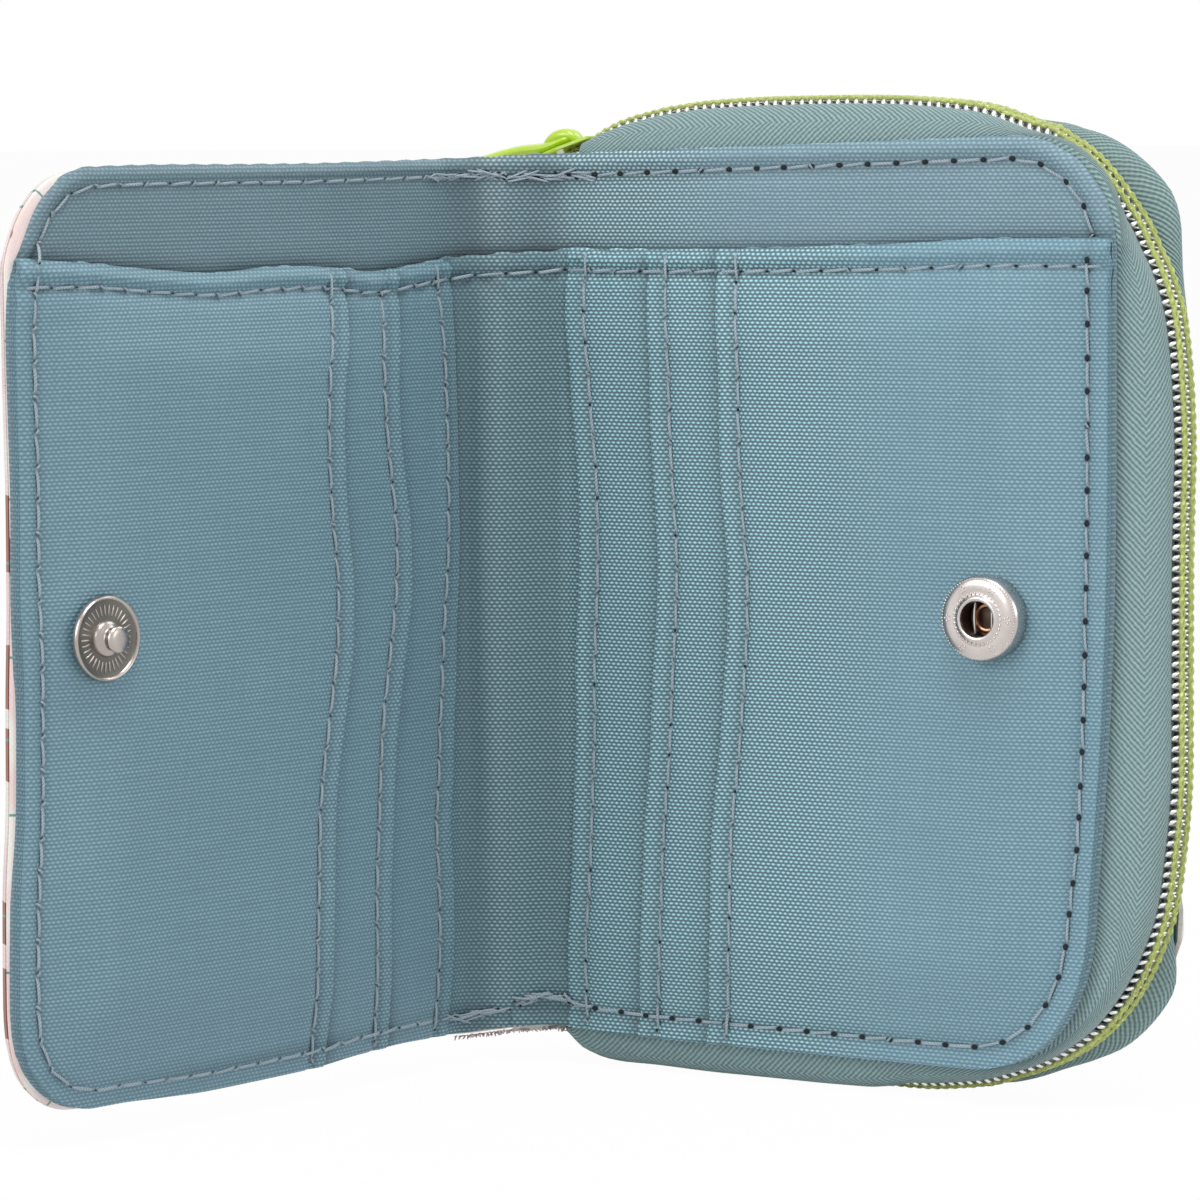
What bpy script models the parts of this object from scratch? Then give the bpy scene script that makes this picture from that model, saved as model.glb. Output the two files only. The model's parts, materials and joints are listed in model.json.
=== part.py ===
"""Compact fabric wallet, open and standing on its lower edge.

One half is a zip-round coin case, the other a flap, and a narrow spine joins them.
Both halves carry three card slots and share a bill pocket.  Lengths are in metres.

Each half has its own frame: x runs from the fold outwards (to -x on the flap and spine),
y runs from the inner face at zero to the outside, and z is up from the floor.
"""
import math

import bmesh
import bpy
from mathutils import Matrix, Vector

# Panels
half_width = 0.072
panel_height = 0.103
spine_width = 0.0135
top_corner_radius = 0.0115
low_corner_radius = 0.018
flap_top_radius = 0.008
flap_low_radius = 0.010
coin_top_rise = 0.0022
flap_hang = 0.0010
flap_bow = 0.0015

# Folds at rest and closed, in degrees
spine_fold = 32.0
flap_fold = 51.0
spine_fold_closed = 69.8

# Cloth and boards
fabric = 0.00045
coin_fabric = 0.00035
cover_fabric = 0.0006
board = 0.0007
gap = 0.0003
fold_clearance = 0.0003
board_inset = 0.0035
lining_inset = 0.0033
cover_margin = 0.0015
turned_edge = 0.0012

# Coin case
case_depth = 0.01145
pouch_run = 0.010
seam_corner_radius = 0.006

# Pockets
hem_drop = 0.0114
slot_drop = 0.0031
first_fold = 0.0022
slot_pitch = 0.0099
slot_count = 3
pocket_overhang = 0.0006
spine_pocket_inset = 0.0022

# Zip
bottom_bulge = 0.0041
side_bulge = 0.0057
arch_rise = 0.0066
arch_radius = 0.113
arch_centre_share = 0.5
tape = 0.00035
tape_seam_width = 0.0030
tape_front_start = 0.0012
tape_back_start = 0.0050
coil_width = 0.00165
coil_height = 0.0011
coil_bevel = 0.00035
coil_front_start = -0.0025
coil_back_start = 0.0004
coil_end = 0.0050
chain_half_gap = 0.00045
# Share of the way from the top corner to the chain's lower end, and of the side bulge.
side_bulge_shares = (
    (0.030, 0.20), (0.052, 0.15), (0.078, 0.17), (0.104, 0.30), (0.121, 0.54), (0.149, 0.82),
    (0.185, 0.94), (0.235, 1.00), (0.436, 0.97), (0.493, 0.83), (0.556, 0.41), (0.616, 0.23),
    (0.657, 0.22), (0.697, 0.45),
)
# Share of the same way, and of the bottom bulge.
bottom_bulge_shares = ((0.739, 1.00), (0.966, 1.00), (1.000, 0.60))

# Slider and puller
slider_x = -0.0021
slider_length = 0.0080
slider_nose_width = 0.0072
slider_tail_width = 0.0054
slider_plate = 0.0005
slider_low_width = 0.0042
slider_top_clearance = 0.0004
slider_low_clearance = 0.0003
blade_thickness = 0.0003
blade_length = 0.0015
bridge_length = 0.0042
bridge_width = 0.0016
bridge_wall = 0.0006
bridge_opening = 0.0013
puller_length = 0.0220
puller_width = 0.0046
puller_tip_width = 0.0034
puller_thickness = 0.0008
puller_bar = 0.0007
puller_window = 0.0030
puller_window_width = 0.0024
puller_lift = 7.0
metal_round = 0.00015

# Snap
snap_height = 0.0514
snap_edge = 0.0144
snap_radius = 0.0050
socket_height = 0.0028
socket_hole = 0.00215
spring_radius = 0.0002
spring_offset = 0.00105
spring_height = 0.0007
eyelet_radius = 0.0017
eyelet_height = 0.0003
stud_base = 0.0008
stud_height = 0.0026
stud_radius = 0.0015
stud_neck = 0.0012
backing_radius = 0.0040
cut_overrun = 0.001

# Facets
run_columns = 8
arc_columns = 6
seam_columns = 6
side_stations = 12
bottom_stations = 14
top_stations = 16
round_steps = 32

lining_blue = (0.155, 0.330, 0.380)
pocket_blue = (0.170, 0.350, 0.400)
tape_grey = (0.220, 0.330, 0.330)
coin_blue = (0.130, 0.270, 0.310)
print_cream = (0.780, 0.640, 0.600)
lime = (0.400, 0.580, 0.050)
silver = (0.740, 0.740, 0.730)
copper = (0.700, 0.420, 0.260)
card_grey = (0.450, 0.440, 0.420)


def clear_scene():
    for item in list(bpy.data.objects):
        bpy.data.objects.remove(item, do_unlink=True)


def finish(name, colour, roughness, metallic=0.0):
    material = bpy.data.materials.new(name)
    material.use_nodes = True
    shader = material.node_tree.nodes["Principled BSDF"]
    shader.inputs["Base Color"].default_value = (*colour, 1.0)
    shader.inputs["Roughness"].default_value = roughness
    shader.inputs["Metallic"].default_value = metallic
    return material


def empty(name, parent, location=(0, 0, 0), turn=None):
    frame = bpy.data.objects.new(name, None)
    bpy.context.collection.objects.link(frame)
    frame.parent = parent
    frame.location = location
    if turn:
        frame.rotation_euler = turn
    return frame


def add_object(name, mesh_data, parent, material=None):
    part = bpy.data.objects.new(name, mesh_data)
    bpy.context.collection.objects.link(part)
    part.parent = parent
    if material:
        part.data.materials.append(material)
    return part


def to_mesh(name, work):
    bmesh.ops.recalc_face_normals(work, faces=work.faces)
    mesh_data = bpy.data.meshes.new(name)
    work.to_mesh(mesh_data)
    work.free()
    return mesh_data


def loft(name, rings, parent, material):
    """Join closed rings of points, one after the other, into a capped solid."""
    work = bmesh.new()
    rows = [[work.verts.new(point) for point in ring] for ring in rings]
    for row, following in zip(rows, rows[1:]):
        for index in range(len(row)):
            after = (index + 1) % len(row)
            work.faces.new((row[index], row[after], following[after], following[index]))
    work.faces.new(rows[0])
    work.faces.new(rows[-1])
    return add_object(name, to_mesh(name, work), parent, material)


def turned(name, profile, parent, material):
    """Spin a closed outline of (radius, height) about the local z axis."""
    work = bmesh.new()
    points = [work.verts.new((radius, 0, height)) for radius, height in profile]
    edges = [work.edges.new((a, b)) for a, b in zip(points, points[1:] + points[:1])]
    bmesh.ops.spin(work, geom=points + edges, cent=(0, 0, 0), axis=(0, 0, 1),
                   angle=2 * math.pi, steps=round_steps, use_merge=True)
    bmesh.ops.remove_doubles(work, verts=work.verts, dist=gap / 100)
    slivers = [edge for edge in work.edges if not edge.link_faces]
    bmesh.ops.delete(work, geom=slivers, context='EDGES')
    part = add_object(name, to_mesh(name, work), parent, material)
    part.data.shade_smooth()
    part.data.set_sharp_from_angle(angle=math.radians(35))
    return part


def turned_disc(name, profile, parent, material):
    """Spin an open profile, whose two ends lie on the axis, into a closed solid."""
    work = bmesh.new()
    points = [work.verts.new((radius, 0, height)) for radius, height in profile]
    edges = [work.edges.new(pair) for pair in zip(points, points[1:])]
    bmesh.ops.spin(work, geom=points + edges, cent=(0, 0, 0), axis=(0, 0, 1),
                   angle=2 * math.pi, steps=round_steps, use_merge=True)
    bmesh.ops.remove_doubles(work, verts=work.verts, dist=gap / 100)
    part = add_object(name, to_mesh(name, work), parent, material)
    part.data.shade_smooth()
    part.data.set_sharp_from_angle(angle=math.radians(35))
    return part


def plate(name, outline, low, high, parent, material, across="z"):
    """Extrude a flat outline between two levels, along z or along y."""
    if across == "z":
        rings = [[(x, y, level) for x, y in outline] for level in (low, high)]
    else:
        rings = [[(x, level, z) for x, z in outline] for level in (low, high)]
    return loft(name, rings, parent, material)


def box_outline(low_a, high_a, low_b, high_b):
    return [(low_a, low_b), (high_a, low_b), (high_a, high_b), (low_a, high_b)]


def hide_tool(part):
    part.hide_render = True
    part.display_type = 'WIRE'


def combine(part, tool, operation):
    cut = part.modifiers.new(operation.lower(), 'BOOLEAN')
    cut.operation = operation
    cut.solver = 'EXACT'
    cut.object = tool
    hide_tool(tool)


def round_edges(part, width):
    bevel = part.modifiers.new("round", 'BEVEL')
    bevel.width = width
    bevel.segments = 2
    bevel.limit_method = 'ANGLE'


# Outlines of the two halves

base = bottom_bulge
arch_centre = arch_centre_share * half_width
socket_x = half_width - snap_edge


def coin_top(x):
    return base + panel_height + coin_top_rise * x / half_width


def coin_low(x):
    return base


def flap_top(x):
    return base + panel_height - flap_hang * x / half_width


def flap_low(x):
    return base - flap_hang * x / half_width


def spine_top(x):
    return base + panel_height


def spine_low(x):
    return base


def corner_drop(x, start, radius):
    """How far a round corner of this radius has turned away from its straight edge at x."""
    past = min(max(x - start, 0), radius)
    return radius - math.sqrt(max(radius * radius - past * past, 0))


def spread(start, end, count):
    return [start + (end - start) * index / count for index in range(count + 1)]


def panel_columns(start, width, top, low, top_radius, low_radius, inset=0, seam_radius=0,
                  hem=0):
    """Columns (x, lowest z, highest z) of a panel with round corners at its outer end."""
    end = width - inset
    top_radius = max(top_radius - inset, 0)
    low_radius = max(low_radius - inset, 0)
    top_start = end - top_radius
    low_start = end - low_radius
    places = set(spread(start, min(top_start, low_start), run_columns))
    for radius, first in ((top_radius, top_start), (low_radius, low_start)):
        for turn in spread(0, math.pi / 2, arc_columns):
            places.add(first + radius * math.sin(turn))
    if seam_radius:
        for turn in spread(0, math.pi / 2, arc_columns):
            places.add(start + seam_radius * (1 - math.cos(turn)))
    if top is coin_top:
        for x in spread(start, pouch_run, seam_columns):
            places.add(x)
    columns = []
    for x in sorted(places):
        if columns and x - columns[-1][0] < gap:
            continue
        high = top(min(x, top_start)) - inset - corner_drop(x, top_start, top_radius)
        high -= corner_drop(start + seam_radius - x, 0, seam_radius) if seam_radius else 0
        if hem:
            high = min(high, top(x) - hem)
        bottom = low(min(x, low_start)) + inset + corner_drop(x, low_start, low_radius)
        columns.append((x, bottom, high))
    return columns


def slab(name, columns, inner, outer, side, parent, material):
    """A panel between two depths, either of which may change with x."""
    rings = []
    for x, bottom, high in columns:
        rings.append([
            (side * x, inner(x), bottom), (side * x, inner(x), high),
            (side * x, outer(x), high), (side * x, outer(x), bottom),
        ])
    return loft(name, rings, parent, material)


def level(depth):
    return lambda x: depth


def bowed(depth):
    """The flap is curved in plan, towards its inner face."""
    def depth_at(x):
        share = min(x / half_width, 1)
        return depth - 4 * flap_bow * share * (1 - share)
    return depth_at


def pouch(seam, full):
    """Depth of the coin case's back, from its pinched seam at the spine to its full depth."""
    def depth_at(x):
        left = 1 - min(max(x, 0) / pouch_run, 1)
        return full + (seam - full) * left * left
    return depth_at


# Depths of the layers, counted from the inner face

lining_back_seam = 2 * gap + fabric + board + coin_fabric + gap
cover_full = case_depth - cover_fabric
back_board_depth = cover_full - gap - board
coin_back_full = back_board_depth - gap - coin_fabric
cover_seam = lining_back_seam + coin_fabric + gap
chain_depth = case_depth / 2
case_hinge_depth = cover_seam - gap / 2


def layer_inner(index):
    return -(index + 1) * (gap + fabric)


def layer_outer(index):
    return layer_inner(index) + fabric


pocket_face = layer_inner(slot_count)


def build_coin_front(parent, looks):
    """The wall between the card slots and the coins: lining, board and coin lining."""
    start = fold_clearance
    columns = panel_columns(start, half_width, coin_top, coin_low, top_corner_radius,
                            low_corner_radius)
    slab("front_lining", columns, level(0), level(fabric), 1, parent, looks["lining"])
    inset = panel_columns(start, half_width, coin_top, coin_low, top_corner_radius,
                          low_corner_radius, inset=board_inset)
    board_depth = fabric + gap
    stiffener = slab("front_board", inset, level(board_depth), level(board_depth + board), 1,
                     parent, looks["card"])
    hole = bore("front_board_hole", (socket_x, board_depth, base + snap_height), parent)
    combine(stiffener, hole, 'DIFFERENCE')
    inset = panel_columns(start, half_width, coin_top, coin_low, top_corner_radius,
                          low_corner_radius, inset=lining_inset)
    depth = board_depth + board + gap
    slab("coin_lining_front", inset, level(depth), level(depth + coin_fabric), 1, parent,
         looks["coin"])


def bore(name, place, parent):
    """Cutter for a board's round hole, along y."""
    radius = backing_radius + gap
    outline = []
    for index in range(round_steps):
        turn = 2 * math.pi * index / round_steps
        outline.append((place[0] + radius * math.cos(turn), place[2] + radius * math.sin(turn)))
    return plate(name, outline, place[1] - cut_overrun, place[1] + board + cut_overrun, parent,
                 None, across="y")


def build_coin_back(parent, looks):
    """The back of the coin case: coin lining, board and printed cover."""
    start = fold_clearance
    shift = -case_hinge_depth
    inset = panel_columns(start, half_width, coin_top, coin_low, top_corner_radius,
                          low_corner_radius, inset=lining_inset, seam_radius=seam_corner_radius)
    inner = pouch(lining_back_seam + shift, coin_back_full + shift)
    outer = pouch(lining_back_seam + coin_fabric + shift, coin_back_full + coin_fabric + shift)
    slab("coin_lining_back", inset, inner, outer, 1, parent, looks["coin"])
    inset = panel_columns(pouch_run + gap, half_width, coin_top, coin_low, top_corner_radius,
                          low_corner_radius, inset=board_inset)
    slab("back_board", inset, level(back_board_depth + shift),
         level(back_board_depth + board + shift), 1, parent, looks["card"])
    columns = panel_columns(start, half_width, coin_top, coin_low, top_corner_radius,
                            low_corner_radius, seam_radius=seam_corner_radius)
    inner = pouch(cover_seam + shift, cover_full + shift)
    outer = pouch(cover_seam + cover_fabric + shift, case_depth + shift)
    slab("back_cover", columns, inner, outer, 1, parent, looks["print"])


def build_pockets(side_name, side, top, low, depth_of, parent, looks):
    """The bill pocket's front wall and the card slots sewn on it, each behind the next."""
    if side > 0:
        width = half_width
        radii = (0, low_corner_radius)
    else:
        width = half_width + pocket_overhang
        radii = (0, flap_low_radius)
    columns = panel_columns(first_fold, width, top, low, *radii, hem=hem_drop)
    slab("bill_wall_" + side_name, columns, depth_of(layer_inner(0)), depth_of(layer_outer(0)),
         side, parent, looks["pocket"])
    for index in range(slot_count):
        fold = first_fold + index * slot_pitch
        columns = panel_columns(fold, half_width, top, low, *radii, hem=hem_drop + slot_drop)
        slab(f"card_slot_{side_name}_{index + 1}", columns, depth_of(layer_inner(index + 1)),
             depth_of(layer_outer(index + 1)), side, parent, looks["pocket"])


def build_spine(parent, looks):
    start = fold_clearance
    end = spine_width - fold_clearance
    columns = panel_columns(start, end, spine_top, spine_low, 0, 0)
    slab("spine_lining", columns, level(0), level(fabric), -1, parent, looks["lining"])
    slab("spine_cover", columns, level(fabric + gap), level(fabric + gap + cover_fabric), -1,
         parent, looks["print"])
    columns = panel_columns(spine_pocket_inset, spine_width - spine_pocket_inset, spine_top,
                            spine_low, 0, 0, hem=hem_drop)
    slab("bill_wall_spine", columns, level(layer_inner(0)), level(layer_outer(0)), -1, parent,
         looks["pocket"])


def build_flap(parent, looks):
    start = fold_clearance
    columns = panel_columns(start, half_width, flap_top, flap_low, flap_top_radius,
                            flap_low_radius)
    slab("flap_lining", columns, bowed(0), bowed(fabric), -1, parent, looks["lining"])
    board_depth = fabric + gap
    inset = panel_columns(start, half_width, flap_top, flap_low, flap_top_radius,
                          flap_low_radius, inset=board_inset)
    stiffener = slab("flap_board", inset, bowed(board_depth), bowed(board_depth + board), -1,
                     parent, looks["card"])
    hole = bore("flap_board_hole", (-stud_x, bowed(board_depth)(stud_x), base + snap_height),
                parent)
    combine(stiffener, hole, 'DIFFERENCE')
    depth = board_depth + board + gap
    width = half_width + cover_margin
    columns = panel_columns(start, width, flap_top, flap_low, flap_top_radius + cover_margin,
                            flap_low_radius + cover_margin)
    inner_edge = width - turned_edge
    columns.append((inner_edge, *column_at(columns, inner_edge)))
    columns.append((inner_edge + gap / 3, *column_at(columns, inner_edge + gap / 3)))
    columns.sort()

    def inner(x):
        return bowed(gap if x > inner_edge else depth)(x)

    slab("flap_cover", columns, inner, bowed(depth + cover_fabric), -1, parent, looks["print"])


def column_at(columns, x):
    """Height range of a panel at x, between the two columns on either side."""
    for left, right in zip(columns, columns[1:]):
        if left[0] <= x <= right[0]:
            share = (x - left[0]) / (right[0] - left[0])
            return tuple(a + (b - a) * share for a, b in zip(left[1:], right[1:]))
    return columns[-1][1:]


# The zip's path round the coin case

def arch_height(x):
    """Height of the chain's outer face along its arched upper run."""
    across = x - arch_centre
    return arch_top - arch_radius + math.sqrt(arch_radius * arch_radius - across * across)


arch_top = base + panel_height + arch_rise
path_corner = (half_width - top_corner_radius, coin_top(half_width - top_corner_radius))


def smooth_value(knots, place):
    """Read a table of (place, value) with a smooth curve that never overshoots."""
    slopes = [(b[1] - a[1]) / (b[0] - a[0]) for a, b in zip(knots, knots[1:])]
    tangents = [slopes[0]]
    for before, after in zip(slopes, slopes[1:]):
        tangents.append(0 if before * after <= 0 else 2 * before * after / (before + after))
    tangents.append(slopes[-1])
    for index, (left, right) in enumerate(zip(knots, knots[1:])):
        if place <= right[0]:
            break
    span = right[0] - left[0]
    t = min(max((place - left[0]) / span, 0), 1)
    return ((2 * t**3 - 3 * t**2 + 1) * left[1] + (t**3 - 2 * t**2 + t) * span * tangents[index]
            + (3 * t**2 - 2 * t**3) * right[1] + (t**3 - t**2) * span * tangents[index + 1])


def zip_path(start, end):
    """Stations (x, z, normal x, normal z, bulge) round the top, outer and lower edges."""
    stations = []
    top_end, top_z = path_corner
    for x in spread(start, top_end, top_stations):
        stations.append((x, coin_top(x), 0, 1, arch_height(x) - coin_top(x)))
    lengths = [
        top_corner_radius * math.pi / 2,
        top_z - top_corner_radius - base - low_corner_radius,
        low_corner_radius * math.pi / 2,
        half_width - low_corner_radius - tape_front_start,
    ]
    way = sum(lengths)
    knots = [(0, arch_height(top_end) - top_z)]
    knots += [(share * way, size * side_bulge) for share, size in side_bulge_shares]
    knots += [(share * way, size * bottom_bulge) for share, size in bottom_bulge_shares]

    def add(x, z, turn, along):
        stations.append((x, z, math.cos(turn), math.sin(turn), smooth_value(knots, along)))

    centre = (top_end, top_z - top_corner_radius)
    for turn in spread(math.pi / 2, 0, arc_columns)[1:]:
        along = (math.pi / 2 - turn) * top_corner_radius
        add(centre[0] + top_corner_radius * math.cos(turn),
            centre[1] + top_corner_radius * math.sin(turn), turn, along)
    low_centre = (half_width - low_corner_radius, base + low_corner_radius)
    for z in spread(centre[1], low_centre[1], side_stations)[1:]:
        add(half_width, z, 0, lengths[0] + centre[1] - z)
    for turn in spread(0, -math.pi / 2, arc_columns)[1:]:
        along = lengths[0] + lengths[1] - turn * low_corner_radius
        add(low_centre[0] + low_corner_radius * math.cos(turn),
            low_centre[1] + low_corner_radius * math.sin(turn), turn, along)
    for x in spread(low_centre[0], end, bottom_stations)[1:]:
        add(x, base, -math.pi / 2, sum(lengths[:3]) + low_centre[0] - x)
    return stations


def ring_at(station, section, shift=0):
    """Place a section of (outward, depth) points at a station of the zip's path."""
    x, z, normal_x, normal_z, _ = station
    return [(x + normal_x * out, depth + shift, z + normal_z * out) for out, depth in section]


def tape_section(edge_out, edge_depth, seam_depth):
    """Closed section of a tape that leaves its seam outwards and rolls over to the chain."""
    middle = [(-tape_seam_width, seam_depth), (-gap, seam_depth)]
    for turn in spread(0, math.pi / 2, 4)[1:]:
        middle.append((edge_out * math.sin(turn),
                       seam_depth + (edge_depth - seam_depth) * (1 - math.cos(turn))))
    above, below = [], []
    for index, point in enumerate(middle):
        before = Vector(middle[max(index - 1, 0)])
        after = Vector(middle[min(index + 1, len(middle) - 1)])
        along = (after - before).normalized()
        square = Vector((-along.y, along.x)) * tape / 2
        above.append((point[0] + square.x, point[1] + square.y))
        below.append((point[0] - square.x, point[1] - square.y))
    return above + below[::-1]


def coil_section(bulge, near, far):
    """Closed section of one side of the chain, with bevelled edges."""
    out, back = bulge, bulge - coil_height
    low, high = min(near, far), max(near, far)
    return [
        (out, low + coil_bevel), (out, high - coil_bevel), (out - coil_bevel, high),
        (back + coil_bevel, high), (back, high - coil_bevel), (back, low + coil_bevel),
        (back + coil_bevel, low), (out - coil_bevel, low),
    ]


def tape_edge(bulge):
    return bulge - coil_height / 2


def build_zip_front(parent, looks):
    chain_edge = chain_depth - chain_half_gap - coil_width
    seam_depth = fabric + gap + tape / 2
    rings = [ring_at(station, tape_section(tape_edge(station[4]), chain_edge - gap, seam_depth))
             for station in zip_path(tape_front_start, tape_front_start)]
    loft("zip_tape_front", rings, parent, looks["tape"])
    rings = [ring_at(station, coil_section(station[4], chain_depth - chain_half_gap, chain_edge))
             for station in zip_path(coil_front_start, coil_end)]
    loft("zip_coil_front", rings, parent, looks["coil"])


def build_zip_back(parent, looks):
    shift = -case_hinge_depth
    chain_edge = chain_depth + chain_half_gap + coil_width
    cover_inner = pouch(cover_seam, cover_full)
    rings = []
    for station in zip_path(tape_back_start, tape_back_start):
        seam_depth = cover_inner(station[0]) - gap - tape / 2
        section = tape_section(tape_edge(station[4]), chain_edge + gap, seam_depth)
        rings.append(ring_at(station, section, shift))
    loft("zip_tape_back", rings, parent, looks["tape"])
    rings = [ring_at(station, coil_section(station[4], chain_depth + chain_half_gap, chain_edge),
                     shift)
             for station in zip_path(coil_back_start, coil_end)]
    loft("zip_coil_back", rings, parent, looks["coil"])


def build_slider(seat, looks):
    """Two plates over and under the chain, joined at the nose by a blade between the coils."""
    half = slider_length / 2
    nose, tail = slider_nose_width / 2, slider_tail_width / 2
    outline = [(-half, -nose), (0, -nose), (half, -tail), (half, tail), (0, nose), (-half, nose)]
    low = slider_top_clearance
    body = plate("slider_body", outline, low, low + slider_plate, seat, looks["lime"])
    under = -coil_height - slider_low_clearance
    half_low = slider_low_width / 2
    lower = plate("slider_lower_plate", box_outline(-half, half, -half_low, half_low),
                  under - slider_plate, under, seat, None)
    blade = plate("slider_blade",
                  box_outline(-half + gap, -half + gap + blade_length, -blade_thickness / 2,
                              blade_thickness / 2),
                  under - slider_plate / 2, low + slider_plate / 2, seat, None)
    combine(body, blade, 'UNION')
    combine(body, lower, 'UNION')
    round_edges(body, metal_round)
    build_bridge(seat, low + slider_plate, looks)


def build_bridge(seat, floor, looks):
    """The loop on the slider that the puller hangs on."""
    foot = floor + gap
    half = bridge_length / 2
    crown = foot + bridge_opening + bridge_wall
    inner = half - bridge_wall
    shoulder = bridge_wall
    outline = [
        (-half, foot), (-inner, foot), (-inner, foot + bridge_opening - shoulder / 2),
        (-inner + shoulder / 2, foot + bridge_opening),
        (inner - shoulder / 2, foot + bridge_opening),
        (inner, foot + bridge_opening - shoulder / 2), (inner, foot), (half, foot),
        (half, crown - shoulder), (half - shoulder, crown), (-half + shoulder, crown),
        (-half, crown - shoulder),
    ]
    half_width_bridge = bridge_width / 2
    bridge = plate("slider_bridge", outline, -half_width_bridge, half_width_bridge, seat,
                   looks["lime"], across="y")
    round_edges(bridge, metal_round)


def build_puller(pivot, looks):
    """A flat tab whose end bar lies inside the bridge, with a window for the bridge's leg."""
    half, tip = puller_width / 2, puller_tip_width / 2
    end = puller_bar / 2
    outline = [(end, -half), (end, half), (-puller_window, half),
               (-puller_length + tip, tip), (-puller_length, tip / 2), (-puller_length, -tip / 2),
               (-puller_length + tip, -tip), (-puller_window, -half)]
    tab = plate("puller", outline, -puller_thickness / 2, puller_thickness / 2, pivot,
                looks["lime"])
    half_window = puller_window_width / 2
    window = plate("puller_window", box_outline(-puller_window - end, -end, -half_window,
                                                half_window),
                   -puller_thickness, puller_thickness, pivot, None)
    combine(tab, window, 'DIFFERENCE')
    round_edges(tab, metal_round)


def build_socket(parent, looks):
    """Snap socket: a round ring, two spring bars and the eyelet that rivets it to the cloth."""
    seat = empty("socket_seat", parent, (socket_x, pocket_face - gap, base + snap_height),
                 (math.pi / 2, 0, 0))
    inner, outer, tall = socket_hole, snap_radius, socket_height
    rim = (outer - inner) / 4
    ring = [
        (inner, 0), (outer, 0), (outer, tall * 0.2), (outer - rim * 0.35, tall * 0.62),
        (outer - rim, tall * 0.88), (outer - rim * 1.9, tall), (outer - rim * 2.8, tall * 0.95),
        (inner, tall * 0.75),
    ]
    turned("snap_socket", ring, seat, looks["silver"])
    for name, side in (("snap_spring_outer", 1), ("snap_spring_inner", -1)):
        place = side * spring_offset
        reach = math.sqrt(socket_hole**2 - spring_offset**2) - gap / 2
        wire = []
        for index in range(6):
            turn = 2 * math.pi * index / 6
            wire.append((place + spring_radius * math.cos(turn),
                         spring_height + spring_radius * math.sin(turn)))
        rings = [[(x, y, z) for x, z in wire] for y in (-reach, reach)]
        loft(name, rings, seat, looks["silver"])
    turned_disc("snap_eyelet", [(0, 0), (eyelet_radius, 0), (eyelet_radius, eyelet_height * 0.6),
                                (eyelet_radius * 0.7, eyelet_height), (0, eyelet_height)],
                seat, looks["copper"])
    depth = fabric + gap + board
    backing = empty("socket_backing_seat", parent, (socket_x, depth, base + snap_height),
                    (math.pi / 2, 0, 0))
    build_backing("snap_socket_backing", backing, looks)


def build_backing(name, seat, looks):
    turned_disc(name, [(0, 0), (backing_radius, 0), (backing_radius, board), (0, board)], seat,
                looks["silver"])


def build_stud(parent, looks):
    """Snap stud: a ribbed base plate and a two-stage post with a domed head."""
    share = stud_x / half_width
    slope = math.atan(4 * flap_bow * (1 - 2 * share) / half_width)
    face = bowed(pocket_face - gap)(stud_x)
    seat = empty("stud_seat", parent, (-stud_x, face, base + snap_height),
                 (math.pi / 2, 0, slope))
    tall, post, neck, foot = stud_height, stud_radius, stud_neck, stud_base
    turned_disc("snap_stud", [
        (0, 0), (snap_radius, 0), (snap_radius, foot * 0.7), (snap_radius - foot * 0.4, foot),
        (snap_radius - foot, foot), (snap_radius - foot * 1.3, foot * 0.7),
        (post + foot, foot * 0.7), (post + foot * 0.4, foot * 1.2), (neck, foot * 1.5),
        (neck, tall - post * 0.6), (post, tall - post * 0.45), (post * 0.9, tall - post * 0.15),
        (post * 0.6, tall), (0, tall),
    ], seat, looks["silver"])
    depth = bowed(fabric + gap + board)(stud_x)
    backing = empty("stud_backing_seat", parent, (-stud_x, depth, base + snap_height),
                    (math.pi / 2, 0, slope))
    build_backing("snap_stud_backing", backing, looks)


stud_x = socket_x + spine_width * math.cos(math.radians(spine_fold_closed))


def stand_on_origin(root):
    """Move the whole wallet so that the middle of its underside is the origin."""
    bpy.context.view_layer.update()
    graph = bpy.context.evaluated_depsgraph_get()
    corners = []
    for part in bpy.data.objects:
        if part.type != 'MESH' or part.hide_render:
            continue
        solid = part.evaluated_get(graph)
        shape = solid.to_mesh()
        corners += [solid.matrix_world @ vertex.co for vertex in shape.vertices]
        solid.to_mesh_clear()
    low = [min(corner[axis] for corner in corners) for axis in range(3)]
    high = [max(corner[axis] for corner in corners) for axis in range(3)]
    root.location = (-(low[0] + high[0]) / 2, -(low[1] + high[1]) / 2, -low[2])


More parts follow.
